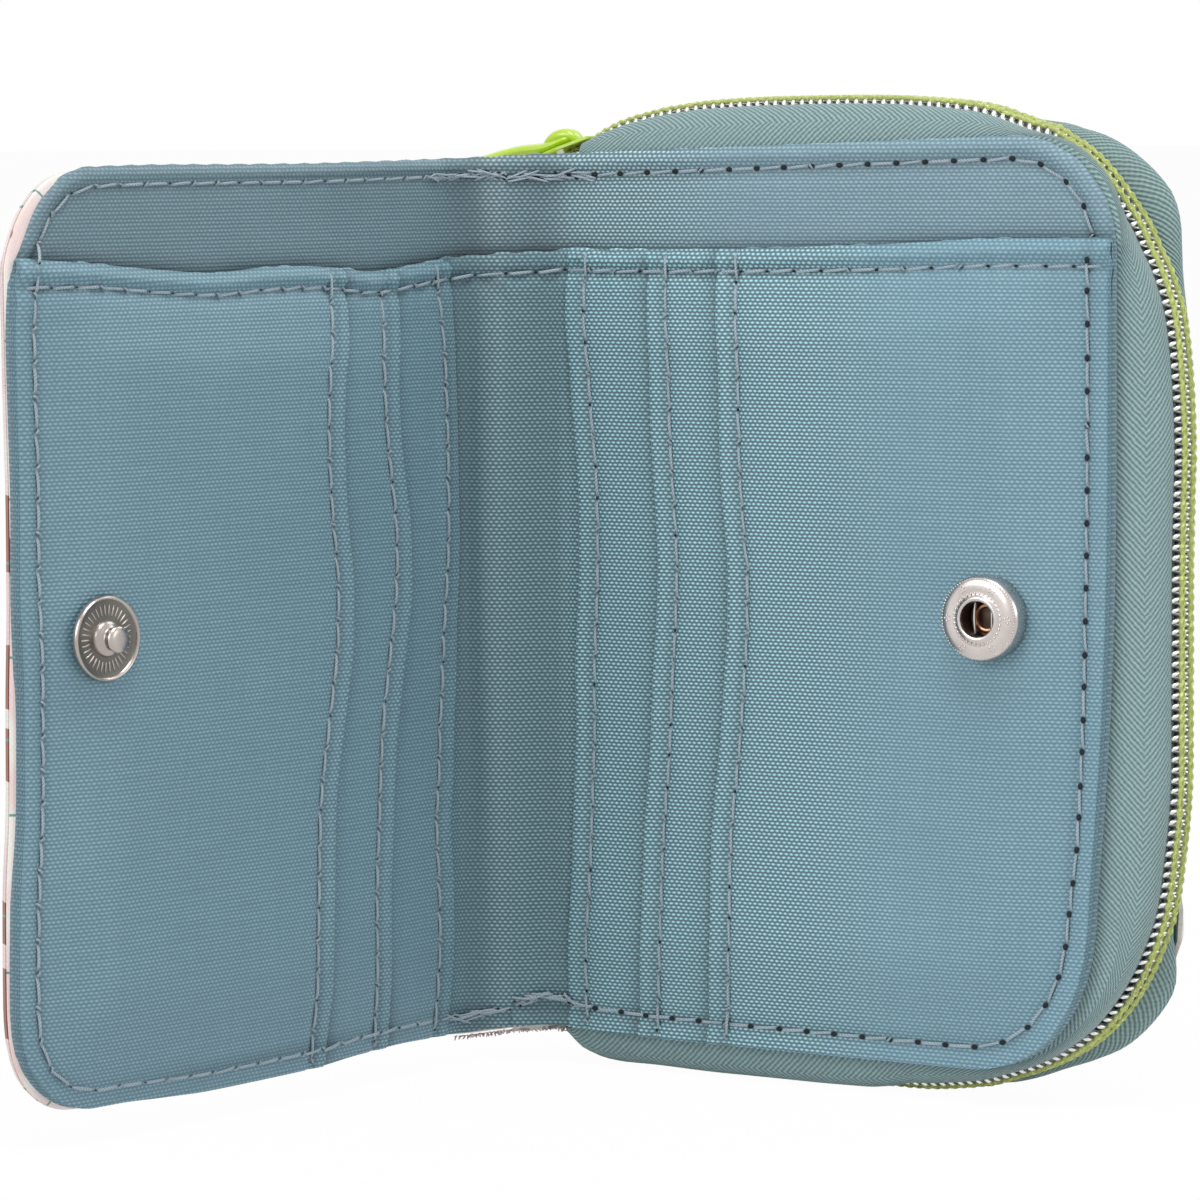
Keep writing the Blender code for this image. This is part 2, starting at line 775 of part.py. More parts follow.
def build():
    clear_scene()
    looks = {
        "lining": finish("lining_cloth", lining_blue, 0.55),
        "pocket": finish("pocket_cloth", pocket_blue, 0.55),
        "coin": finish("coin_cloth", coin_blue, 0.60),
        "tape": finish("zip_tape", tape_grey, 0.75),
        "coil": finish("zip_coil", silver, 0.35, 0.6),
        "print": finish("printed_cover", print_cream, 0.50),
        "card": finish("stiffener", card_grey, 0.85),
        "lime": finish("slider_lacquer", lime, 0.25),
        "silver": finish("nickel", silver, 0.25, 1.0),
        "copper": finish("copper", copper, 0.35, 1.0),
    }
    root = empty("wallet_origin", None)
    coin_case = empty("coin_case_frame", root)
    build_coin_front(coin_case, looks)
    build_pockets("right", 1, coin_top, coin_low, level, coin_case, looks)
    build_zip_front(coin_case, looks)
    build_socket(coin_case, looks)

    coin_back = empty("coin_back_hinge", coin_case, (0, case_hinge_depth, 0))
    build_coin_back(coin_back, looks)
    build_zip_back(coin_back, looks)

    spine = empty("spine_hinge", coin_case, (0, 0, 0), (0, 0, math.radians(spine_fold)))
    build_spine(spine, looks)
    flap = empty("flap_hinge", spine, (-spine_width, 0, 0), (0, 0, math.radians(flap_fold)))
    build_flap(flap, looks)
    build_pockets("left", -1, flap_top, flap_low, bowed, flap, looks)
    build_stud(flap, looks)

    tilt = math.asin((slider_x - arch_centre) / arch_radius)
    centre = empty("zip_path_centre", coin_case,
                   (arch_centre, chain_depth, arch_top - arch_radius), (0, tilt, 0))
    seat = empty("slider_seat", centre, (0, 0, arch_radius))
    build_slider(seat, looks)
    bar_height = slider_top_clearance + slider_plate + gap + bridge_opening / 2
    pivot = empty("puller_pivot", seat, (0, 0, bar_height), (0, math.radians(puller_lift), 0))
    build_puller(pivot, looks)
    stand_on_origin(root)


build()
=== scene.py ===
# %% [markdown]
# # An open cloth wallet
# The wallet stands open on its lower edge.  The right half is a coin case with a zip round
# three sides, the left half is a flap, and a narrow spine joins them.  Every piece is made in
# metres in the imported model's own frame.  Most are hung on the body they belong to, so that
# they move with it; the sheets that run over the spine and the seams stay where they are made.

# %% Load the imported model
import json
import math

import bmesh
import bpy
import numpy as np
from mathutils import Matrix, Vector, noise


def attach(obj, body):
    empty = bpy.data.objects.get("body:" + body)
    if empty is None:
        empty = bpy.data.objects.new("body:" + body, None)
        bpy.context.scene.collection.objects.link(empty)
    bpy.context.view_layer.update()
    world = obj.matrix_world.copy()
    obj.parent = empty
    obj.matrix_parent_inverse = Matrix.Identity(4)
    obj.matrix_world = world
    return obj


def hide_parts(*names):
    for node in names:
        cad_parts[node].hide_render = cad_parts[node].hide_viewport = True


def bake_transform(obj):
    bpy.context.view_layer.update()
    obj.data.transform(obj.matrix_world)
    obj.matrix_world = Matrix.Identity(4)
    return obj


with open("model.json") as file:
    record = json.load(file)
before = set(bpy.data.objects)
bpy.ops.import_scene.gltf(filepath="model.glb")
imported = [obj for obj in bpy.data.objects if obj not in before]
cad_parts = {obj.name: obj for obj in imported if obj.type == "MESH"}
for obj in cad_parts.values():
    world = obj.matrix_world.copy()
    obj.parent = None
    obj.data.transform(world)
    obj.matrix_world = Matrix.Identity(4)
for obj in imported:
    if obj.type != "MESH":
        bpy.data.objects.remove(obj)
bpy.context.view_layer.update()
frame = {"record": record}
bpy.ops.object.select_all(action='DESELECT')
mm = 0.001

# %% [markdown]
# ## Camera
# The camera stands 630 mm off at the photo's angle: 32 degrees to the left of the coin case's
# front, and 5 degrees above it.  Its place was fitted to folds, seams and corners, so it is kept
# here as one point, two angles and a lens.

# %% Camera
joint_at = {joint["name"]: Vector(joint["pos_m"])
            for joint in frame["record"]["behaviour"]["joints"]}
fold = joint_at["spine_fold"]
camera_place = fold + Vector((338.1, -533.6, 109.7)) * mm
camera_turn, camera_tilt, camera_roll = 32.0, -4.96, -0.4
image_size, lens_in_pixels = 1200, 5396


def add_camera():
    bpy.ops.object.camera_add(location=camera_place)
    camera = bpy.context.object
    look = (Matrix.Rotation(math.radians(camera_turn), 4, 'Z')
            @ Matrix.Rotation(math.radians(90 + camera_tilt), 4, 'X')
            @ Matrix.Rotation(math.radians(camera_roll), 4, 'Z'))
    camera.matrix_world = Matrix.Translation(camera_place) @ look
    camera.data.sensor_width = 36
    camera.data.lens = 36 * lens_in_pixels / image_size
    camera.data.clip_start = 0.01
    bpy.context.scene.camera = camera
    return camera


camera = add_camera()
print("lens", round(camera.data.lens, 1), "mm")

# %% [markdown]
# ## Floor and light
# A product photo has a white ground and light from all round.  One large floor takes the
# shadow; to the camera most of its white is its own, so it stays white up to the horizon.
# Four big soft lamps and a pale world light the cloth at a plain level.

# %% Floor, world and lamps
floor_glow, world_level = 0.965, 0.36
lamps = [("key", (-0.34, -1.0, 0.52), 0.7, 4.8), ("side", (1.05, 0.10, 0.40), 0.5, 1.8),
         ("rim", (0.35, 0.65, 0.75), 0.6, 2.0), ("top", (0.15, -0.22, 1.0), 0.5, 5.6)]


def white_to_rays(tree, surface, share):
    """Mix plain white over a surface for camera, mirror and glass rays."""
    path = tree.nodes.new("ShaderNodeLightPath")
    part = path.outputs["Is Camera Ray"]
    for operation, value in (('ADD', path.outputs["Is Glossy Ray"]),
                             ('ADD', path.outputs["Is Transmission Ray"]),
                             ('MULTIPLY', share)):
        step = tree.nodes.new("ShaderNodeMath")
        step.operation = operation
        step.use_clamp = True
        tree.links.new(part, step.inputs[0])
        if operation == 'ADD':
            tree.links.new(value, step.inputs[1])
        else:
            step.inputs[1].default_value = value
        part = step.outputs[0]
    white = tree.nodes.new("ShaderNodeEmission" if surface.type != 'BACKGROUND'
                           else "ShaderNodeBackground")
    white.inputs["Color"].default_value = (1, 1, 1, 1)
    mix = tree.nodes.new("ShaderNodeMixShader")
    tree.links.new(part, mix.inputs[0])
    tree.links.new(surface.outputs[0], mix.inputs[1])
    tree.links.new(white.outputs[0], mix.inputs[2])
    return mix


def add_floor():
    bpy.ops.mesh.primitive_plane_add(size=60)
    floor = bpy.context.object
    floor.name = "floor"
    material = bpy.data.materials.new("floor_white")
    material.use_nodes = True
    tree = material.node_tree
    shader = tree.nodes["Principled BSDF"]
    shader.inputs["Base Color"].default_value = (0.86, 0.86, 0.86, 1)
    shader.inputs["Roughness"].default_value = 0.9
    mix = white_to_rays(tree, shader, floor_glow)
    tree.links.new(mix.outputs[0], tree.nodes["Material Output"].inputs["Surface"])
    floor.data.materials.append(material)


def light_studio():
    world = bpy.data.worlds.new("studio")
    bpy.context.scene.world = world
    world.use_nodes = True
    ground = world.node_tree.nodes["Background"]
    ground.inputs["Color"].default_value = (1, 1, 1, 1)
    ground.inputs["Strength"].default_value = world_level
    mix = white_to_rays(world.node_tree, ground, 1.0)
    world.node_tree.links.new(mix.outputs[0],
                              world.node_tree.nodes["World Output"].inputs["Surface"])
    aim = Vector((0, 0, 0.055))
    for name, place, size, power in lamps:
        bpy.ops.object.light_add(type='AREA', location=place)
        lamp = bpy.context.object
        lamp.name = name
        lamp.data.shape = 'DISK'
        lamp.data.size = size
        lamp.data.energy = power
        lamp.rotation_euler = (aim - Vector(place)).to_track_quat('-Z', 'Y').to_euler()


add_floor()
light_studio()
bpy.context.scene.view_settings.view_transform = 'Standard'
print("lamps:", ", ".join(lamp[0] for lamp in lamps))

# %% [markdown]
# ## The wallet's plan
# Each half is a thin stack of cloth.  A piece is drawn in its half's own measures: how far out
# from the fold, how deep behind the inner face, and how high.  One matrix per body then stands
# it up in its place, so that a slot is drawn once and used on both sides.

# %% Sizes and places
half_width, panel_height, spine_width = 72 * mm, 103 * mm, 13.5 * mm
foot = 4.1 * mm
coin_rise, flap_hang, flap_bow = 2.2 * mm, 1.0 * mm, 1.5 * mm
hem_drop = 11.4 * mm
spine_turn, flap_turn = math.radians(32), math.radians(83)
flip = Matrix.Scale(-1, 4, (1, 0, 0))
stand = {
    "coin_case": Matrix.Translation(fold),
    "coin_back": Matrix.Translation(fold),
    "spine": Matrix.Translation(fold) @ Matrix.Rotation(spine_turn, 4, 'Z') @ flip,
    "flap": (Matrix.Translation(joint_at["flap_fold"])
             @ Matrix.Rotation(flap_turn, 4, 'Z') @ flip),
}
print("panels", half_width, "by", panel_height)


# %% Outlines of the panels
def eased(value, start, end):
    """Rise smoothly from 0 to 1 between two places."""
    share = np.clip((value - start) / (end - start), 0, 1)
    return share * share * (3 - 2 * share)


def round_off(out, edge, radius):
    """How far a round corner has left its straight edge, at this way out."""
    past = np.clip(out - (edge - radius), 0, radius)
    return radius - np.sqrt(np.maximum(radius * radius - past * past, 0))


def panel_top(half, out, edge, radius):
    straight = np.minimum(out, edge - radius)
    if half == "flap":
        rise = -flap_hang * straight / half_width
    elif half == "spine":
        rise = 0 * out
    else:
        rise = coin_rise * straight / half_width
    return foot + panel_height + rise - round_off(out, edge, radius)


def panel_low(half, out, edge, radius):
    straight = np.minimum(out, edge - radius)
    drop = -0.2 * flap_hang * straight / half_width if half == "flap" else 0 * out
    return foot + drop + round_off(out, edge, radius)


def bow(half, out):
    """The flap is slightly curved in plan, towards its inner face."""
    share = np.clip(out / half_width, 0, 1)
    return -4 * flap_bow * share * (1 - share) if half == "flap" else 0 * out


corner = {"flap": (8 * mm, 10 * mm), "coin_case": (11.5 * mm, 18 * mm),
          "coin_back": (11.5 * mm, 18 * mm), "spine": (0.01 * mm, 0.01 * mm)}
print("corners", corner["coin_case"])


# %% [markdown]
# ## Laying cloth
# Cloth is easiest to lay from a flat grid: each of its points is moved to the place that the
# cut, the seams and the folds give it.  The grid keeps the cloth's own measures as its UV map,
# in metres, so that the weave follows the thread and never stretches across a fold.  Solidify
# then gives it its thickness.

# %% Grid to cloth
def spread(start, end, step, *extra):
    """Even measures from start to end, about a step apart, with extra ones added."""
    count = max(2, round((end - start) / step) + 1)
    places = sorted(set(np.linspace(start, end, count)) | set(extra))
    kept = [places[0]]
    for place in places[1:]:
        if place - kept[-1] > step * 0.15:
            kept.append(place)
    return np.array(kept)


def round_columns(edge, radii):
    """Ways out at which the round corners are cut into even steps."""
    return [edge - radius * (1 - math.sin(turn)) for radius in radii
            for turn in np.linspace(0, math.pi / 2, 9)]


def lay_cloth(name, body, across, up, place, thickness, material, outward=1, level=True,
              painted_shade=None):
    """Add a grid and move each point to place(across, up), in the body's own measures.
    The threads of a cloth laid level stay level, also where its edge is cut round, and they are
    counted on from one half over the spine to the other."""
    bpy.ops.mesh.primitive_grid_add(x_subdivisions=len(across) - 1,
                                    y_subdivisions=len(up) - 1, size=2)
    piece = bpy.context.object
    piece.name = piece.data.name = name
    cloth = piece.data
    points = np.empty(len(cloth.vertices) * 3)
    cloth.vertices.foreach_get("co", points)
    points = points.reshape(-1, 3)
    column = np.rint((points[:, 0] + 1) / 2 * (len(across) - 1)).astype(int)
    row = np.rint((points[:, 1] + 1) / 2 * (len(up) - 1)).astype(int)
    along, high = across[column], up[row]
    moved = np.column_stack(place(along, high))
    cloth.vertices.foreach_set("co", moved.ravel())
    corners = np.empty(len(cloth.loops), dtype=int)
    cloth.loops.foreach_get("vertex_index", corners)
    thread = np.column_stack((-along - 2 * spine_middle if body == "flap" else along,
                              moved[:, 2] if level else high))[corners]
    cloth.uv_layers.active.data.foreach_set("uv", thread.ravel())
    # Painted shade: a darkness for each point, kept as an attribute that the cloth's material
    # mixes in.
    if painted_shade:
        dark = cloth.attributes.new("painted_shade", 'FLOAT', 'POINT')
        dark.data.foreach_set("value", np.clip(painted_shade(along, moved[:, 2]), 0, 1))
    cloth.update()
    matrix = stand[body]
    cloth.transform(matrix)
    if (matrix.determinant() < 0) != (outward < 0):
        cloth.flip_normals()
    if thickness:
        shell = piece.modifiers.new("thickness", 'SOLIDIFY')
        shell.thickness = thickness
        shell.offset = 0
        bpy.ops.object.modifier_apply(modifier=shell.name)
    bpy.ops.object.shade_smooth_by_angle(angle=math.radians(50))
    piece.data.materials.append(material)
    return piece


def pick(*pieces):
    """Select these pieces alone; the first becomes the active one."""
    bpy.ops.object.select_all(action='DESELECT')
    for piece in pieces:
        piece.select_set(True)
    bpy.context.view_layer.objects.active = pieces[0]


def join(parts, name=None):
    """Make one mesh of several, under the first one's name or a new one."""
    pick(*parts)
    bpy.ops.object.join()
    if name:
        parts[0].name = parts[0].data.name = name
    return parts[0]


def settle(piece, body, nodes=(), ends=None):
    """Finish a piece: with ends it is baked where it stands, without them it is attached to its
    body; the model's parts that it replaces are hidden.
    """
    if ends:
        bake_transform(piece)
    else:
        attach(piece, body)
    if nodes:
        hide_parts(*nodes)
    print(piece.name, len(piece.data.polygons), "faces")


def wander(points_a, points_b, scale, seed):
    """Soft, slow unevenness between -1 and 1 over a sheet."""
    return np.array([noise.noise(Vector((a / scale, b / scale, seed)))
                     for a, b in zip(points_a, points_b)])


print("cloth helper ready")

# %% [markdown]
# ## Finishes
# Cloth reads as cloth through its thread.  A plain weave is two sets of threads that pass over
# and under each other, so its high spots stand like a chequerboard: a product of two sines.
# Zip tape is a herringbone twill, and sewing thread is a twist of plies.  Each of these is one
# node group that gives a height, and every material places it with its own measures.

# %% Small helpers for nodes
def put(tree, kind, inputs=None, **settings):
    """Add a node, set its options, and set or link its inputs."""
    made = tree.nodes.new("ShaderNode" + kind)
    for name, value in settings.items():
        setattr(made, name, value)
    for name, value in (inputs or {}).items():
        if isinstance(value, bpy.types.NodeSocket):
            tree.links.new(value, made.inputs[name])
        else:
            made.inputs[name].default_value = value
    return made


def work(tree, operation, first, second=0.0):
    """One step of arithmetic, which gives its output."""
    return put(tree, "Math", {0: first, 1: second}, operation=operation).outputs[0]


def new_group(name, inputs, outputs):
    group = bpy.data.node_groups.new(name, 'ShaderNodeTree')
    for socket, value in inputs.items():
        kind = 'NodeSocketVector' if value is None else 'NodeSocketFloat'
        made = group.interface.new_socket(socket, in_out='INPUT', socket_type=kind)
        if value is not None:
            made.default_value = value
    for socket in outputs:
        group.interface.new_socket(socket, in_out='OUTPUT', socket_type='NodeSocketFloat')
    return group, group.nodes.new('NodeGroupInput').outputs, group.nodes.new('NodeGroupOutput')


def use(tree, group, inputs):
    return put(tree, "Group", inputs, node_tree=group).outputs


# %% Plain weave
def make_weave():
    """Height of a plain weave, and how much each thread differs from the next."""
    group, given, result = new_group("plain_weave", {"Vector": None, "Across": 0.00024,
                                                     "Up": 0.0002}, ("Height", "Slub"))
    apart = put(group, "SeparateXYZ", {"Vector": given["Vector"]}).outputs
    warp = work(group, 'DIVIDE', apart["X"], given["Across"])
    weft = work(group, 'DIVIDE', apart["Y"], given["Up"])
    product = work(group, 'MULTIPLY', work(group, 'SINE', work(group, 'MULTIPLY', warp, math.pi)),
                   work(group, 'SINE', work(group, 'MULTIPLY', weft, math.pi)))
    rows = work(group, 'COSINE', work(group, 'MULTIPLY', weft, 2 * math.pi))
    high = work(group, 'SUBTRACT', work(group, 'MULTIPLY', product, 0.27),
                work(group, 'MULTIPLY', rows, 0.23))
    high = work(group, 'ADD', high, 0.5)
    slubs = []
    for stretch in ((0.9, 0.03, 1), (0.03, 0.9, 1)):
        threads = put(group, "CombineXYZ", {"X": work(group, 'MULTIPLY', warp, stretch[0]),
                                            "Y": work(group, 'MULTIPLY', weft, stretch[1])})
        slubs.append(put(group, "TexNoise", {"Vector": threads.outputs[0], "Scale": 1.0,
                                             "Detail": 1.0}).outputs[0])
    group.links.new(high, result.inputs["Height"])
    group.links.new(work(group, 'MULTIPLY', work(group, 'ADD', slubs[0], slubs[1]), 0.5),
                    result.inputs["Slub"])
    return group


weave = make_weave()
print("weave nodes:", len(weave.nodes))


# %% Herringbone and twisted thread
def make_herringbone():
    """Diagonal ribs that change direction from band to band, as on zip tape."""
    group, given, result = new_group("herringbone", {"Vector": None, "Rib": 0.0006,
                                                     "Band": 0.0026, "Apex": 0.0}, ("Height",))
    loose = put(group, "VectorMath", {0: put(group, "TexNoise", {
        "Vector": given["Vector"], "Scale": 1400.0}).outputs["Color"],
        1: (0.00024, 0.00024, 0)}, operation='MULTIPLY').outputs[0]
    apart = put(group, "SeparateXYZ", {"Vector": put(group, "VectorMath", {
        0: given["Vector"], 1: loose}).outputs[0]}).outputs
    band = work(group, 'PINGPONG', work(group, 'SUBTRACT', apart["Y"], given["Apex"]),
                given["Band"])
    slant = work(group, 'ADD', apart["X"], work(group, 'MULTIPLY', band, 1.1))
    ribs = work(group, 'SINE', work(group, 'MULTIPLY', work(group, 'DIVIDE', slant,
                                                            given["Rib"]), 2 * math.pi))
    knots = work(group, 'SINE', work(group, 'MULTIPLY', work(group, 'DIVIDE', work(
        group, 'SUBTRACT', apart["X"], work(group, 'MULTIPLY', band, 1.0)), given["Rib"]),
        2 * math.pi))
    both = work(group, 'ADD', work(group, 'MULTIPLY', ribs, 0.40),
                work(group, 'MULTIPLY', knots, 0.10))
    group.links.new(work(group, 'ADD', both, 0.5), result.inputs["Height"])
    return group


def make_twist():
    """Slanted plies of a thread: x runs along it, y round it, both in metres."""
    group, given, result = new_group("twist", {"Vector": None, "Pitch": 0.0005}, ("Height",))
    apart = put(group, "SeparateXYZ", {"Vector": given["Vector"]}).outputs
    slant = work(group, 'DIVIDE', work(group, 'ADD', apart["X"], apart["Y"]), given["Pitch"])
    wave = work(group, 'SINE', work(group, 'MULTIPLY', slant, 2 * math.pi))
    high = work(group, 'MULTIPLY_ADD', wave, 0.5)
    high.node.inputs[2].default_value = 0.5
    group.links.new(high, result.inputs["Height"])
    return group


def make_mottle():
    """Slow unevenness, the same on every material: tone from handling and light dye, and on the
    cloth the clouds of a painted sheen.
    """
    group, given, result = new_group("mottle", {"Vector": None, "Scale": 40.0}, ("Slow", "Fine"))
    for name, times, detail in (("Slow", 1.0, 2.0), ("Fine", 9.0, 3.0)):
        cloud = put(group, "TexNoise", {"Vector": given["Vector"], "Detail": detail,
                                        "Scale": work(group, 'MULTIPLY', given["Scale"], times)})
        group.links.new(cloud.outputs[0], result.inputs[name])
    return group


herringbone, twist, mottle = make_herringbone(), make_twist(), make_mottle()
print("groups:", len(bpy.data.node_groups))


# %% [markdown]
# ## Materials
# Every material starts from the same few steps: a height from its group, a colour that runs from
# the dark between the threads to the light on top of them, and a bump from the same height.  Slow
# mottling keeps large areas from looking printed.

# %% Start of a material
def start_material(name, roughness, metallic=0.0, sheen=0.0, coat=0.0):
    material = bpy.data.materials.new(name)
    material.use_nodes = True
    tree = material.node_tree
    shader = tree.nodes["Principled BSDF"]
    shader.inputs["Roughness"].default_value = roughness
    shader.inputs["Metallic"].default_value = metallic
    shader.inputs["Sheen Weight"].default_value = sheen
    shader.inputs["Sheen Roughness"].default_value = 0.4
    shader.inputs["Coat Weight"].default_value = coat
    shader.inputs["Coat Roughness"].default_value = 0.12
    thread = put(tree, "UVMap", uv_map="UVMap").outputs[0]
    place = put(tree, "TexCoord").outputs["Object"]
    return material, tree, shader, thread, place


def blend_colours(tree, share, first, second):
    mix = put(tree, "Mix", {"Factor": share}, data_type='RGBA')
    for socket, colour in ((6, first), (7, second)):
        if isinstance(colour, bpy.types.NodeSocket):
            tree.links.new(colour, mix.inputs[socket])
        else:
            mix.inputs[socket].default_value = (*colour, 1)
    return mix.outputs[2]


def raise_bump(tree, shader, height, strength, distance, under=None):
    inputs = {"Height": height, "Strength": strength, "Distance": distance}
    if under:
        inputs["Normal"] = under
    bump = put(tree, "Bump", inputs).outputs[0]
    tree.links.new(bump, shader.inputs["Normal"])
    return bump


def dress(tree, shader, colour, roughness, height, strength, distance):
    """Join a colour, a roughness and a bump to the shader; gives the bump."""
    tree.links.new(colour, shader.inputs["Base Color"])
    tree.links.new(roughness, shader.inputs["Roughness"])
    return raise_bump(tree, shader, height, strength, distance)


def even(tree, value, low, high):
    """Stretch a value of 0 to 1 so that it runs from low to high."""
    return put(tree, "MapRange", {"Value": value, "To Min": low, "To Max": high}).outputs[0]


# %% Lining and pocket cloth
def make_cloth(name, dark, light, painted_sheen, across=0.328 * mm, up=0.43 * mm, depth=0.08 * mm,
               painted_glint=0.60):
    """Plain-woven cloth.  Near the spine the tops of its threads carry a painted highlight, as
    glints.
    """
    material, tree, shader, thread, place = start_material(name, 0.5, sheen=0.25)
    loose = put(tree, "VectorMath", {0: put(tree, "TexNoise", {
        "Vector": thread, "Scale": 1100.0, "Detail": 1.0}).outputs["Color"],
        1: (0.16 * mm, 0.10 * mm, 0)}, operation='MULTIPLY').outputs[0]
    strands = put(tree, "VectorMath", {0: thread, 1: loose}).outputs[0]
    threads = use(tree, weave, {"Vector": strands, "Across": across, "Up": up})
    cloud = use(tree, mottle, {"Vector": place, "Scale": 45.0})
    crown = put(tree, "MapRange", {"Value": threads["Height"], "From Min": 0.30,
                                   "From Max": 0.90}).outputs[0]
    crown = work(tree, 'MULTIPLY', crown, even(tree, threads["Slub"], 0.35, 1.50))
    colour = blend_colours(tree, crown, dark, light)
    # Painted sheen: slow clouds lighten the cloth towards a lighter copy of its colours.
    colour = blend_colours(tree, even(tree, cloud["Slow"], -0.25, 0.85), colour,
                           blend_colours(tree, crown, painted_sheen[0], painted_sheen[1]))
    # Painted highlight: near the spine and the first card folds the tops of the threads are
    # lightened, as glints.
    side = put(tree, "SeparateXYZ", {"Vector": thread}).outputs["X"]
    away = work(tree, 'ABSOLUTE', work(tree, 'SUBTRACT', side, 3 * mm))
    near = put(tree, "MapRange", {"Value": away, "From Min": 24 * mm, "From Max": 6 * mm,
                                  "To Max": painted_glint}, interpolation_type='SMOOTHSTEP').outputs[0]
    sharp = put(tree, "MapRange", {"Value": threads["Height"], "From Min": 0.40,
                                   "From Max": 0.92}).outputs[0]
    colour = blend_colours(tree, near, colour, blend_colours(
        tree, sharp, [value * 0.50 for value in dark],
        [min(value * 2.15, 1.0) for value in light]))
    # Painted highlight: a bright band of glints down the middle of the spine.
    away = work(tree, 'ABSOLUTE', work(tree, 'ADD', side, 8.4 * mm))
    band = put(tree, "MapRange", {"Value": away, "From Min": 2.4 * mm, "From Max": 0.3 * mm,
                                  "To Max": painted_glint}, interpolation_type='SMOOTHSTEP').outputs[0]
    colour = blend_colours(tree, band, colour, blend_colours(
        tree, sharp, dark, [min(value * 2.8, 1.0) for value in light]))
    # Painted shade: the sheet's darkness attribute mixes the colour towards a darker copy of its
    # dark.
    painted_shade = put(tree, "Attribute", attribute_name="painted_shade").outputs["Fac"]
    colour = blend_colours(tree, painted_shade, colour, [value * 0.35 for value in dark])
    dull = work(tree, 'ADD', work(tree, 'MULTIPLY', crown, -0.6), cloud["Fine"])
    bump = dress(tree, shader, colour, even(tree, dull, 0.52, 0.64), threads["Height"], 1.0,
                 depth)
    raise_bump(tree, shader, cloud["Slow"], 0.25, 0.5 * mm, bump)
    return material


# Each cloth's last pair of colours is a lighter copy of its own two, for the painted sheen.
lining_cloth = make_cloth("lining_cloth", (0.130, 0.220, 0.262), (0.292, 0.440, 0.520),
                          ((0.148, 0.245, 0.292), (0.330, 0.487, 0.570)))
pocket_cloth = make_cloth("pocket_cloth", (0.115, 0.220, 0.272), (0.270, 0.450, 0.545),
                          ((0.130, 0.245, 0.300), (0.310, 0.500, 0.600)))
coin_cloth = make_cloth("coin_cloth", (0.070, 0.155, 0.185), (0.170, 0.310, 0.350),
                        ((0.080, 0.170, 0.200), (0.190, 0.330, 0.370)), across=0.3 * mm,
                        up=0.3 * mm)
print("cloth materials made")


# %% Zip tape
def make_tape():
    material, tree, shader, thread, place = start_material("zip_tape", 0.7, sheen=0.2)
    ribs = use(tree, herringbone, {"Vector": thread, "Rib": 0.74 * mm, "Band": 5.0 * mm,
                                  "Apex": 5.4 * mm})
    cloud = use(tree, mottle, {"Vector": place, "Scale": 60.0})
    colour = blend_colours(tree, ribs["Height"], (0.078, 0.155, 0.165), (0.385, 0.520, 0.525))
    colour = blend_colours(tree, even(tree, cloud["Slow"], 0, 0.35), colour,
                           (0.240, 0.360, 0.350))
    dress(tree, shader, colour, even(tree, cloud["Fine"], 0.62, 0.82), ribs["Height"], 1.0,
          0.12 * mm)
    return material


# %% Threads
def make_thread(name, dark, light, roughness, pitch, sheen=0.3):
    material, tree, shader, thread, place = start_material(name, roughness, sheen=sheen)
    plies = use(tree, twist, {"Vector": thread, "Pitch": pitch})
    cloud = use(tree, mottle, {"Vector": place, "Scale": 400.0})
    colour = blend_colours(tree, even(tree, plies["Height"], 0.1, 1), dark, light)
    colour = blend_colours(tree, even(tree, cloud["Slow"], 0, 0.4), colour, dark)
    dress(tree, shader, colour, even(tree, cloud["Fine"], roughness - 0.1, roughness + 0.1),
          plies["Height"], 0.8, 0.05 * mm)
    return material


tape_cloth = make_tape()
seam_thread = make_thread("seam_thread", (0.200, 0.265, 0.315), (0.480, 0.570, 0.640), 0.5,
                          0.35 * mm)
lime_thread = make_thread("lime_thread", (0.620, 0.800, 0.110), (0.980, 1.000, 0.420), 0.45,
                          0.5 * mm)
print("tape and threads made")


# %% Metal, lacquer and coil
def make_metal(name, colour, tint, roughness, scale=300.0, peel=(0.12, 0.03 * mm),
               clouds=(-0.3, 0.9), metallic=1.0, coat=0.0):
    """Bare or painted metal: two colours in slow clouds, and a faint orange peel."""
    material, tree, shader, _, place = start_material(name, roughness, metallic, coat=coat)
    cloud = use(tree, mottle, {"Vector": place, "Scale": scale})
    dress(tree, shader, blend_colours(tree, even(tree, cloud["Slow"], *clouds), colour, tint),
          even(tree, cloud["Fine"], roughness - 0.06, roughness + 0.12), cloud["Fine"], *peel)
    return material


nickel = make_metal("nickel", (0.66, 0.61, 0.585), (0.44, 0.39, 0.365), 0.22)
worn_nickel = make_metal("worn_nickel", (0.50, 0.45, 0.42), (0.30, 0.26, 0.24), 0.26)
dull_nickel = make_metal("dull_nickel", (0.20, 0.19, 0.17), (0.11, 0.105, 0.095), 0.30)
coil_silver = make_metal("coil_silver", (0.80, 0.80, 0.79), (0.62, 0.62, 0.62), 0.30, 900.0)
# Painted shade: a near-black metal that lines the socket's well and closes the eyelet's hole, for
# the shade in these hollows.
hollow_shade_metal = make_metal("hollow_shade_metal", (0.090, 0.060, 0.048), (0.045, 0.030, 0.026), 0.45)
copper = make_metal("copper", (0.62, 0.33, 0.20), (0.38, 0.19, 0.12), 0.35)
lacquer = make_metal("slider_lacquer", (0.380, 0.580, 0.012), (0.500, 0.700, 0.030), 0.28, 350.0,
                     peel=(0.35, 0.05 * mm), clouds=(0, 1), metallic=0.0, coat=0.7)


